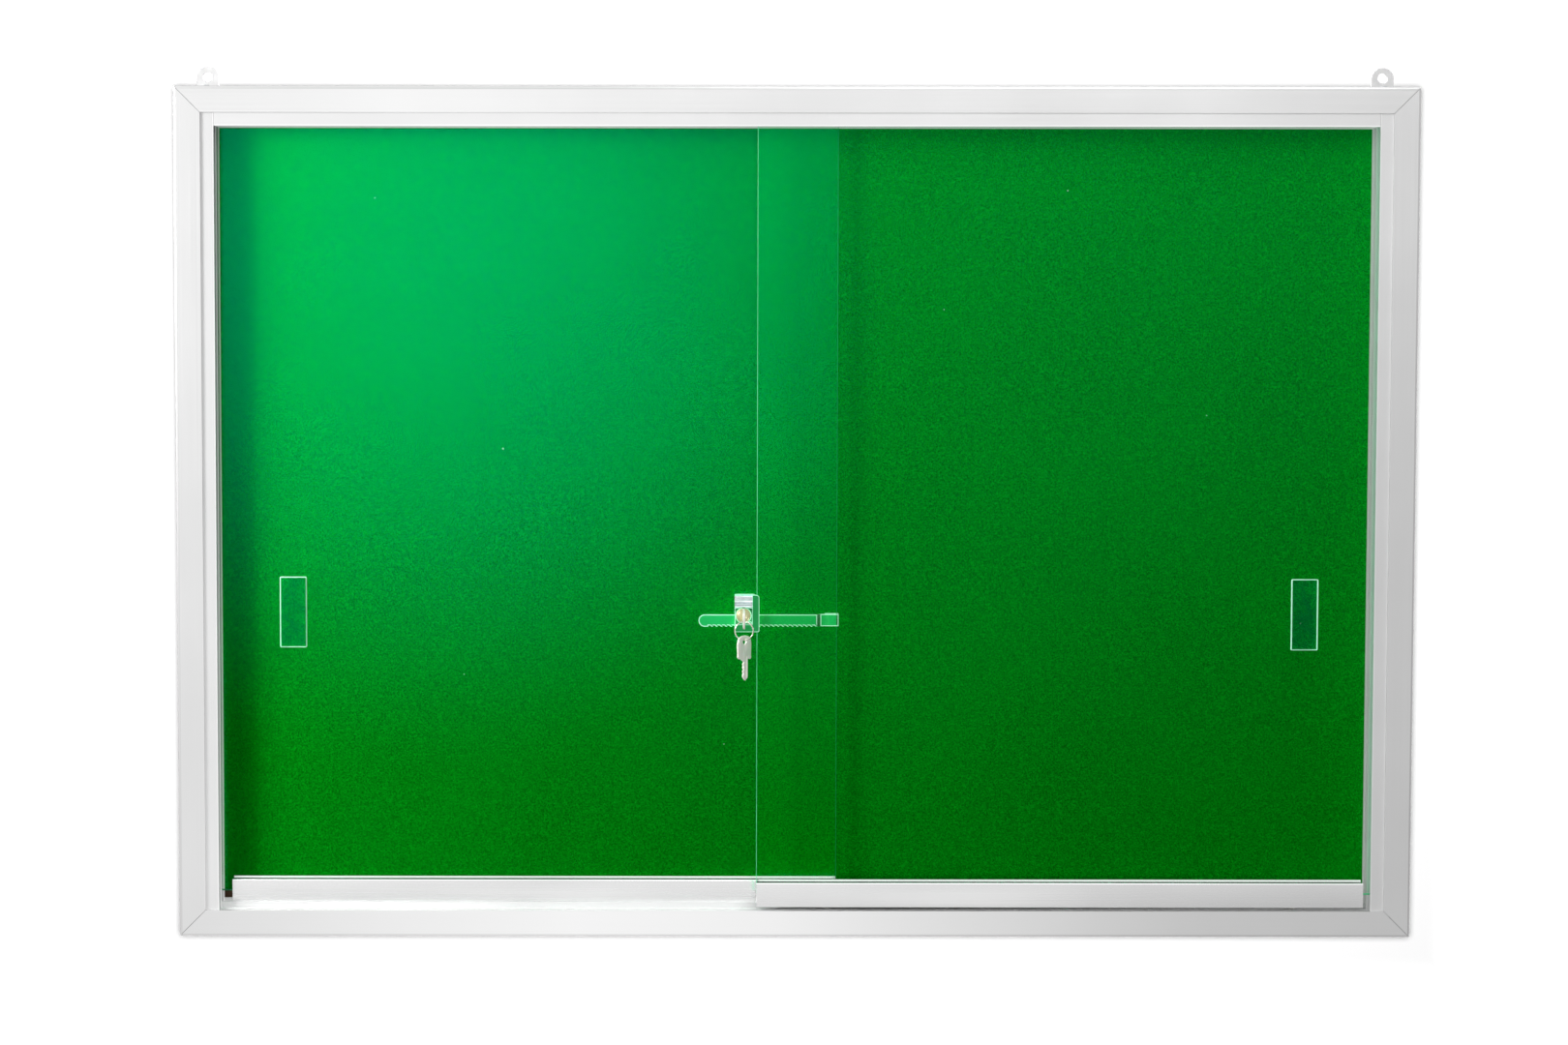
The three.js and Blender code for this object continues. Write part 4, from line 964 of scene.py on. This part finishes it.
def bright_edged(piece, width, finishes, chosen):
    """Marks off a rim on the faces toward the viewer that chosen picks. It and all that
    turns away get the second finish, and what it leaves of those faces the first. Where it
    is called, the second finish is the painted highlight."""
    piece.data.materials.clear()
    for finish in finishes:
        piece.data.materials.append(finish)
    shape = bmesh.new()
    shape.from_mesh(piece.data)
    flat = [face for face in shape.faces if face.normal.y < facing_viewer and chosen(face)]
    for face in shape.faces:
        face.material_index = 1
    bmesh.ops.inset_region(shape, faces=flat, thickness=width, use_boundary=True,
                           use_even_offset=True)
    for face in flat:
        face.material_index = 0
    shape.to_mesh(piece.data)
    shape.free()


weld(strip, hook)
finished(strip, rim=bar_arris, steps=1)
bright_edged(strip, bar_rim, (bar_face, painted_highlight_rim, bend_face), lambda face: True)
for face in strip.data.polygons:
    spots = [strip.data.vertices[k].co for k in face.vertices]
    long = max((two - one for one, two in zip(spots, spots[1:] + spots[:1])),
               key=lambda way: way.length)
    tooth_step = (face.material_index == 1 and face.center.z < bar_low + tooth_reach
                  and tooth_first < face.center.x < bar_joggle
                  and abs(long.z) > abs(long.x))
    if tooth_step:
        face.material_index = 0
    elif (bar_joggle - bend_slack < face.center.x < bar_flat + bend_slack
          and face.normal.y > facing_viewer):
        face.material_index = 2
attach(strip, "rear_door")
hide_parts("lock_bar")


# Lock body
# A chromed slider, cast in zinc: a flat plate that takes the bar, and on it a square nose
# for the cylinder, under a thumb rest of two rolls.
lock_x, lock_z = -0.0515, -0.506
plate_left, plate_right, nose_right = -0.0599, -0.0383, -0.0426
plate_low, plate_high = -0.5238, -0.4871
plate_back, plate_front, nose_front = -0.029455, -0.036655, -0.050055
lip_right, lip_back, lip_front = -0.0357, -0.0380, -0.0390
nose_low, nose_high = -0.5155, -0.4979
roll_front, step_front, groove = -0.040675, -0.044025, -0.039603
step_high, groove_high, roll_low, roll_high = -0.4922, -0.4918, -0.4910, -0.4877
plate_corner, plate_round, plate_seat = 0.0012, 0.0030, 0.002
slot_ends, bar_clear = (-0.07, -0.03), 0.0003
pawl_half, pawl_back, pawl_front, pawl_way = 0.0038, -0.0318, -0.034155, -0.0341
pawl_foot, pawl_head = -0.5230, -0.5016
bore_radius, bore_back, bore_front = 0.0075, -0.033855, -0.056
nose_rim, plate_bright, edge_slack = 0.0006, 0.0005, 0.0001
lathe_steps = 64

# Chrome plate: a bright mirror, softened by faint streaks along X where it was polished
chrome, tree, place = new_finish("chrome_plate")
drawn = add(tree, "ShaderNodeMapping", {"Vector": place, "Scale": (per(1.43), per(11.1),
                                                                   per(11.1))})
streak = add(tree, "ShaderNodeTexNoise", {"Vector": drawn, "Scale": 1.0, "Detail": 3.0})
# Painted reflection: the colour is near white where a face looks up or down, for the
# white room that it mirrors, and a dim grey where it looks straight out, for the dim side
# where the photographer stands
looks = add(tree, "ShaderNodeNewGeometry")
upward = add(tree, "ShaderNodeSeparateXYZ", {0: looks.outputs["Normal"]})
tilt = add(tree, "ShaderNodeMath", {0: upward.outputs["Z"]}, operation="ABSOLUTE")
painted_reflection_share = add(tree, "ShaderNodeMapRange", {"Value": tilt, "From Min": 0.15,
                                             "From Max": 0.75})
dim = add(tree, "ShaderNodeMix", {0: streak, 6: "6E8288", 7: "D5E4E6"}, data_type="RGBA")
tone = add(tree, "ShaderNodeMix", {0: painted_reflection_share, 6: dim, 7: "F4FAFA"}, data_type="RGBA")
matt = add(tree, "ShaderNodeMapRange", {"Value": streak, "To Min": 0.12, "To Max": 0.28})
show(tree, add(tree, "ShaderNodeBsdfPrincipled", {"Base Color": tone, "Metallic": 0.6,
                                                  "Roughness": matt}))


def box_tool(left, right, back, front, low, high):
    """A block that cuts another piece."""
    return plate("tool", corners(left, right, low, high), back, front)


def turned(name, profile, x, z, steps, *finishes):
    """What a lathe makes of a profile (radius, y) round the line through x and z."""
    shape = bmesh.new()
    rings = []
    for radius, y in profile:
        count = steps if radius else 1
        rings.append([shape.verts.new((x + radius * math.cos(math.tau * k / steps), y,
                                       z + radius * math.sin(math.tau * k / steps)))
                      for k in range(count)])
    for one, two in zip(rings, rings[1:]):
        for k in range(steps):
            around = (one[k % len(one)], one[(k + 1) % len(one)],
                      two[(k + 1) % len(two)], two[k % len(two)])
            shape.faces.new(list(dict.fromkeys(around)))
    bmesh.ops.remove_doubles(shape, verts=shape.verts, dist=1e-7)
    bmesh.ops.recalc_face_normals(shape, faces=shape.faces)
    return mesh_piece(name, shape, *finishes)


def rod(radius, start, end, x, z, steps):
    """A round bar along Y, that bores or joins another piece."""
    return turned("tool", [(0, start), (radius, start), (radius, end), (0, end)], x, z,
                  steps)


def plate_line(right):
    """The lock plate's outline as far as a right edge, with one corner well rounded."""
    return ring_of([(plate_left, plate_low, plate_corner), (right, plate_low, plate_corner),
                    (right, plate_high, plate_round), (plate_left, plate_high,
                                                       plate_corner)])


body = plate("lock_body", plate_line(plate_right), plate_back, (lip_back + lip_front) / 2)
# A lip laps over the front pane's edge, 0.2 mm clear of it
weld(body, plate("lip", plate_line(lip_right), lip_back, lip_front))

inside = plate_front + plate_seat
line = ring_of([
    (inside, nose_low), (nose_front, nose_low, 0.0006), (nose_front, nose_high, 0.0008),
    (step_front, nose_high, 0.0006), (step_front, step_high, 0.0020),
    (groove, groove_high, 0.0005), (roll_front, roll_low, 0.0006),
    (roll_front, roll_high, 0.0014), (inside, roll_high)])
nose = swept("nose", line, lambda a, b, along: (along, a, b), plate_left, nose_right)
weld(body, finished(nose, rim=nose_rim))

# The bar's slot, the pawl's pocket with its way to the teeth, and the cylinder's bore
pawl_sides = (lock_x - pawl_half, lock_x + pawl_half)
finished(body, cuts=[
    box_tool(*slot_ends, bar_back + bar_clear, bar_back - bar_thick - bar_clear,
             bar_low - bar_clear, bar_high + bar_clear),
    box_tool(*pawl_sides, pawl_back, pawl_front, pawl_foot, pawl_head),
    box_tool(*pawl_sides, bar_back + bar_clear, pawl_way, pawl_foot, bar_low),
    rod(bore_radius, bore_back, bore_front, lock_x, lock_z, lathe_steps)], smooth=30)
# The lock's front faces take the painted green reflection inside a rim of painted highlight,
# and its other faces the painted highlight, but for the chrome top of the nose
bright_edged(body, plate_bright, (plate_face, painted_highlight_rim, chrome),
             lambda face: face.calc_center_median().y < lip_front + edge_slack)
for face in body.data.polygons:
    at = face.center
    if at.z > nose_high - edge_slack and at.x < nose_right and at.y < lip_front - edge_slack:
        face.material_index = 2
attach(body, "lock")
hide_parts("lock_housing")

# Screw and rivet in the body's lower right corner: a dished head and a plain dot. Both take
# the painted highlight, and the screw's hollow the painted green reflection
head_high, shank_deep, head_steps = 0.0009, 0.0022, 28
for name, x, z, radius, seat, hollow in (
        ("lock_screw", -0.0449, -0.5132, 0.0015, nose_front, 0.0007),
        ("lock_rivet", -0.0418, -0.5203, 0.0009, lip_front, 0.0002)):
    top = seat - head_high
    head = turned(name + "_head", [
        (0, seat + shank_deep), (radius / 2, seat + shank_deep), (radius / 2, seat),
        (radius, seat - 0.0001), (radius, top + 0.0003), (radius * 0.86, top),
        (radius * 0.6, top), (radius * 0.42, top + hollow), (0, top + hollow)],
        x, z, head_steps, painted_highlight_rim, plate_face)
    finished(head, smooth=50)
    for face in head.data.polygons:
        reach = math.hypot(face.center.x - x, face.center.z - z)
        if name == "lock_screw" and reach < radius * 0.4:
            face.material_index = 1
    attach(head, "lock")
    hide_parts(name)


# Cylinder
# A brass pin cylinder: a turned ring pressed into the body, and the plug inside it, which
# has the keyway and turns with the key.
barrel_radius, plug_radius = 0.0072, 0.0055
barrel_front, barrel_back, plug_front = -0.051055, -0.034455, -0.051355
keyway_half, keyway_height = 0.0012, 0.0036
keyway_back = -0.0359
cam_pin, cam_pin_back, cam_pin_sunk, cam_pin_steps = 0.0008, -0.032455, 0.0003, 16
lathe_pitch, patina_size = 1.208, 3.85

# Brass, pale under the lamp, with a patchy bloom and the rings that the lathe left
brass, tree, place = new_finish("turned_brass")
centred = add(tree, "ShaderNodeMapping", {"Vector": place, "Location": (-lock_x, 0.0,
                                                                        -lock_z)})
# The node draws 20 rings in tau of its scale
lathe = add(tree, "ShaderNodeTexWave", {
    "Vector": centred, "Scale": per(lathe_pitch) * math.tau / 20, "Distortion": 1.5,
    "Detail": 2.0, "Detail Scale": 2.0}, wave_type="RINGS", rings_direction="Y")
patina = add(tree, "ShaderNodeTexNoise", {"Vector": place, "Scale": per(patina_size),
                                          "Detail": 3.0})
tone = add(tree, "ShaderNodeMix", {0: patina, 6: "B8AE74", 7: "E8E5C2"}, data_type="RGBA")
matt = add(tree, "ShaderNodeMapRange", {"Value": lathe.outputs["Fac"], "To Min": 0.25,
                                        "To Max": 0.42})
relief = add(tree, "ShaderNodeBump", {"Height": lathe.outputs["Fac"], "Strength": 0.5,
                                      "Distance": 0.0001})
show(tree, add(tree, "ShaderNodeBsdfPrincipled", {"Base Color": tone, "Metallic": 0.85,
                                                  "Roughness": matt, "Normal": relief}))

barrel = finished(turned("cylinder_ring", [
    (plug_radius + 0.0001, barrel_back), (barrel_radius, barrel_back),
    (barrel_radius, barrel_front + 0.0007), (barrel_radius - 0.0007, barrel_front),
    (plug_radius + 0.0004, barrel_front), (plug_radius + 0.0001, barrel_front + 0.0003),
    (plug_radius + 0.0001, barrel_back)], lock_x, lock_z, lathe_steps, brass))
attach(barrel, "lock")
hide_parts("lock_barrel")

plug = turned("cylinder_plug", [
    (0, barrel_back), (plug_radius, barrel_back), (plug_radius, plug_front + 0.0004),
    (plug_radius - 0.0004, plug_front), (plug_radius * 0.62, plug_front),
    (plug_radius * 0.55, plug_front + 0.0003), (0, plug_front + 0.0003)],
    lock_x, lock_z, lathe_steps, brass)
finished(plug, cuts=[box_tool(lock_x - keyway_half, lock_x + keyway_half, keyway_back,
                              bore_front, lock_z - keyway_height, lock_z + keyway_height)])
weld(plug, rod(cam_pin, cam_pin_back, barrel_back - cam_pin_sunk, lock_x - cam_pin,
               lock_z - cam_pin, cam_pin_steps))
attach(plug, "key")
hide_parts("lock_plug")


# Keys
# Two keys stamped from nickel silver sheet, 1.8 mm, with a rounded bow, a groove milled
# along the blade and cuts on one side. One is in the lock, and one hangs from the ring.
key_thick = 0.0018
bow_half, bow_top, bow_cheek = 0.00925, 0.0057, -0.0042
blade_left, blade_right, blade_middle = -0.0021, 0.0045, 0.0012
key_shoulder, key_tip = -0.0169, -0.0385
key_cuts = [(-0.02043, 0.0013), (-0.02396, 0.0007), (-0.02748, 0.0013), (-0.03101, 0.0007)]
cut_mouth, cut_foot = 0.0016, 0.0005
key_hole = (0.0025, 0.0030)
key_groove, groove_floor, groove_top = (0.0017, 0.0030), 0.00055, -0.0150
key_rim = 0.0002
tool_reach = 0.01
bow_steps, hole_steps = 12, 32
bow_pull, cheek_pull = 0.62, 0.7
ring_y, ring_middle, spare_z = -0.074655, -0.5176, -0.5279

# Nickel silver is a pale warm grey, scuffed dull in places and scratched along its length,
# with a faint painted glow over all of it
nickel, tree, place = new_finish("nickel_silver")
scuff = add(tree, "ShaderNodeTexNoise", {"Vector": place, "Scale": per(2.38), "Detail": 5.0,
                                         "Roughness": 0.7})
drawn = add(tree, "ShaderNodeMapping", {"Vector": place, "Scale": (per(0.25), per(0.25),
                                                                   per(11.1))})
polish = add(tree, "ShaderNodeTexNoise", {"Vector": drawn, "Scale": 1.0})
tone = add(tree, "ShaderNodeMix", {0: scuff, 6: "E2DFD4", 7: "FFFDF6"}, data_type="RGBA")
matt = add(tree, "ShaderNodeMapRange", {"Value": polish, "To Min": 0.24, "To Max": 0.48})
relief = add(tree, "ShaderNodeBump", {"Height": polish, "Strength": 0.25,
                                      "Distance": 0.00005})
show(tree, add(tree, "ShaderNodeBsdfPrincipled", {"Base Color": tone, "Metallic": 0.2,
                                                  "Roughness": matt, "Normal": relief,
                                                  "Emission Color": tone,
                                                  "Emission Strength": 0.16}))


def key_piece(name, place):
    """A key, drawn as it hangs by its hole, and then put in its place by a matrix."""
    # A cubic curve from the bow's cheek to its top
    crown = []
    for step in range(bow_steps + 1):
        share = step / bow_steps
        rest = 1 - share
        early, late = 3 * rest ** 2 * share, 3 * rest * share ** 2
        crown.append((bow_half * (rest ** 3 + early + bow_pull * late),
                      bow_cheek * rest ** 3
                      + bow_top * (cheek_pull * early + late + share ** 3)))
    line = crown + [(-a, b) for a, b in reversed(crown[:-1])]
    line += [(-0.0088, -0.0128, 0.0008), (-0.0091, -0.0150, 0.0008),
             (-0.0076, -0.0165, 0.0007), (-0.0050, key_shoulder, 0.0006),
             (-0.0035, -0.0182, 0.0004), (blade_left, -0.0186)]
    for z, deep in key_cuts:
        line += [(blade_left, z + cut_mouth), (blade_left + deep, z + cut_foot),
                 (blade_left + deep, z - cut_foot), (blade_left, z - cut_mouth)]
    line += [(blade_left, -0.0345), (blade_middle, key_tip, 0.0006),
             (blade_right, -0.0352, 0.0006), (blade_right, -0.0174, 0.0003),
             (0.0064, -0.0174, 0.0004), (0.0082, -0.0180, 0.0006),
             (0.0092, -0.0163, 0.0008), (0.0089, -0.0140, 0.0008)]
    made = plate(name, ring_of(line), -key_thick / 2, key_thick / 2, nickel)
    eye = rod(1, -tool_reach, tool_reach, 0, 0, hole_steps)
    eye.data.transform(Matrix.Diagonal((key_hole[0], 1, key_hole[1], 1)))
    grooves = [box_tool(*key_groove, side * tool_reach, side * groove_floor,
                        key_tip - 0.001, groove_top) for side in (1, -1)]
    finished(made, rim=key_rim, cuts=[eye, *grooves], smooth=45)
    made.data.transform(place)
    return made


spare = key_piece("ring_key", Matrix.Translation((lock_x, ring_y, spare_z))
                  @ Matrix.Rotation(math.radians(45), 4, "Z"))
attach(spare, "spare_key")
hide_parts("spare_key")

# The one in the lock: its tip points into the board, and its flat stands upright
turned_in = Matrix(((0, -1, 0, 0), (0, 0, -1, 0), (1, 0, 0, 0), (0, 0, 0, 1)))
inserted = key_piece("lock_key", Matrix.Translation(
    (lock_x, ring_y, lock_z - blade_middle)) @ turned_in)
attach(inserted, "key")
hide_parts("inserted_key")


# Key ring
# A split ring: spring wire wound twice round, which passes through the inserted key's bow
# and carries the spare key. Bright nickel plate.
ring_radius, ring_wire, coil_apart, ring_steps = 0.00895, 0.00050, 0.00044, 48
coil_start, coil_spread, coil_swerve = math.radians(130), 0.00018, 6

# The plate is bright where new and yellow and duller where the keys rub it
ring_finish, tree, place = new_finish("bright_nickel_wire")
wear = add(tree, "ShaderNodeTexNoise", {"Vector": place, "Scale": per(2.63), "Detail": 3.0})
tone = add(tree, "ShaderNodeMix", {0: wear, 6: "C4C2A6", 7: "FBFCF6"}, data_type="RGBA")
matt = add(tree, "ShaderNodeMapRange", {"Value": wear, "To Min": 0.15, "To Max": 0.35})
show(tree, add(tree, "ShaderNodeBsdfPrincipled", {"Base Color": tone, "Metallic": 0.8,
                                                  "Roughness": matt}))

coil = []
for step in range(2 * ring_steps + 1):
    turn = coil_start + math.tau * step / ring_steps
    side = max(-1.0, min(1.0, (step / ring_steps - 1) * coil_swerve))
    reach = ring_radius + coil_spread * side
    coil.append((lock_x + reach * math.cos(turn), ring_y + coil_apart * side,
                 ring_middle + reach * math.sin(turn)))
ring = wire_piece("split_ring", [coil], ring_wire, ring_finish, sides=3)
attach(ring, "key_ring")
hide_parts("key_ring")


# Hangers
# Two holed tabs that hang the board on its hooks, pressed in steel and plated a pearly grey,
# each on a foot that is screwed down on the top rail.
hanger_x = 0.5845
hanger_half, hanger_foot_half = 0.01085, 0.01385
hanger_sole = (0.0133, 0.0149)
hanger_top, hanger_round = 0.0356, 0.0106
hanger_plate, hanger_deep = 0.002, 0.014
eye_z, eye_radius = 0.0256, 0.0052
hanger_screw_y, screw_hole = -0.0084, 0.0018
hanger_corner, hanger_bend, hanger_rim = 0.0004, 0.003, 0.00045
eye_steps, screw_steps = 40, 24

frosted = grained("pearl_grey_plating", "D2D2D2", "DEDEDE", 4, 0.33, metal=1.0,
                  depth=0.0001)
for side, way in (("left", -1), ("right", 1)):
    middle = way * hanger_x
    line = ring_of([
        (-hanger_foot_half, hanger_sole[0], hanger_corner),
        (hanger_foot_half, hanger_sole[0], hanger_corner),
        (hanger_foot_half, hanger_sole[1], hanger_corner),
        (hanger_half, hanger_sole[1], hanger_bend),
        (hanger_half, hanger_top, hanger_round), (-hanger_half, hanger_top, hanger_round),
        (-hanger_half, hanger_sole[1], hanger_bend),
        (-hanger_foot_half, hanger_sole[1], hanger_corner)])
    tab = swept("hanger_tab_" + side, line, lambda a, b, along: (middle + a, along, b), 0,
                -hanger_plate, frosted)
    weld(tab, box_tool(middle - hanger_foot_half, middle + hanger_foot_half, 0.0,
                       -hanger_deep, *hanger_sole))
    eye = rod(eye_radius, -tool_reach, tool_reach, middle, eye_z, eye_steps)
    hole = rod(screw_hole, -tool_reach, tool_reach, 0, 0, screw_steps)
    hole.data.transform(Matrix.Translation((middle, hanger_screw_y, hanger_sole[0]))
                        @ Matrix.Rotation(math.pi / 2, 4, "X"))
    finished(tab, rim=hanger_rim, steps=1, cuts=[eye, hole])
    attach(tab, "frame")
    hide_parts("hanger_" + side)


# Shade
# Only the large pieces shade the felt from the key lamp: the small fittings throw no shade
# from it.
large_size = 0.2
bpy.context.view_layer.update()
shade_makers = bpy.data.collections.new("shade_makers")
for made in bpy.context.scene.objects:
    if made.type == "MESH" and max(made.dimensions) > large_size:
        shade_makers.objects.link(made)
bpy.data.objects["key_lamp"].light_linking.blocker_collection = shade_makers
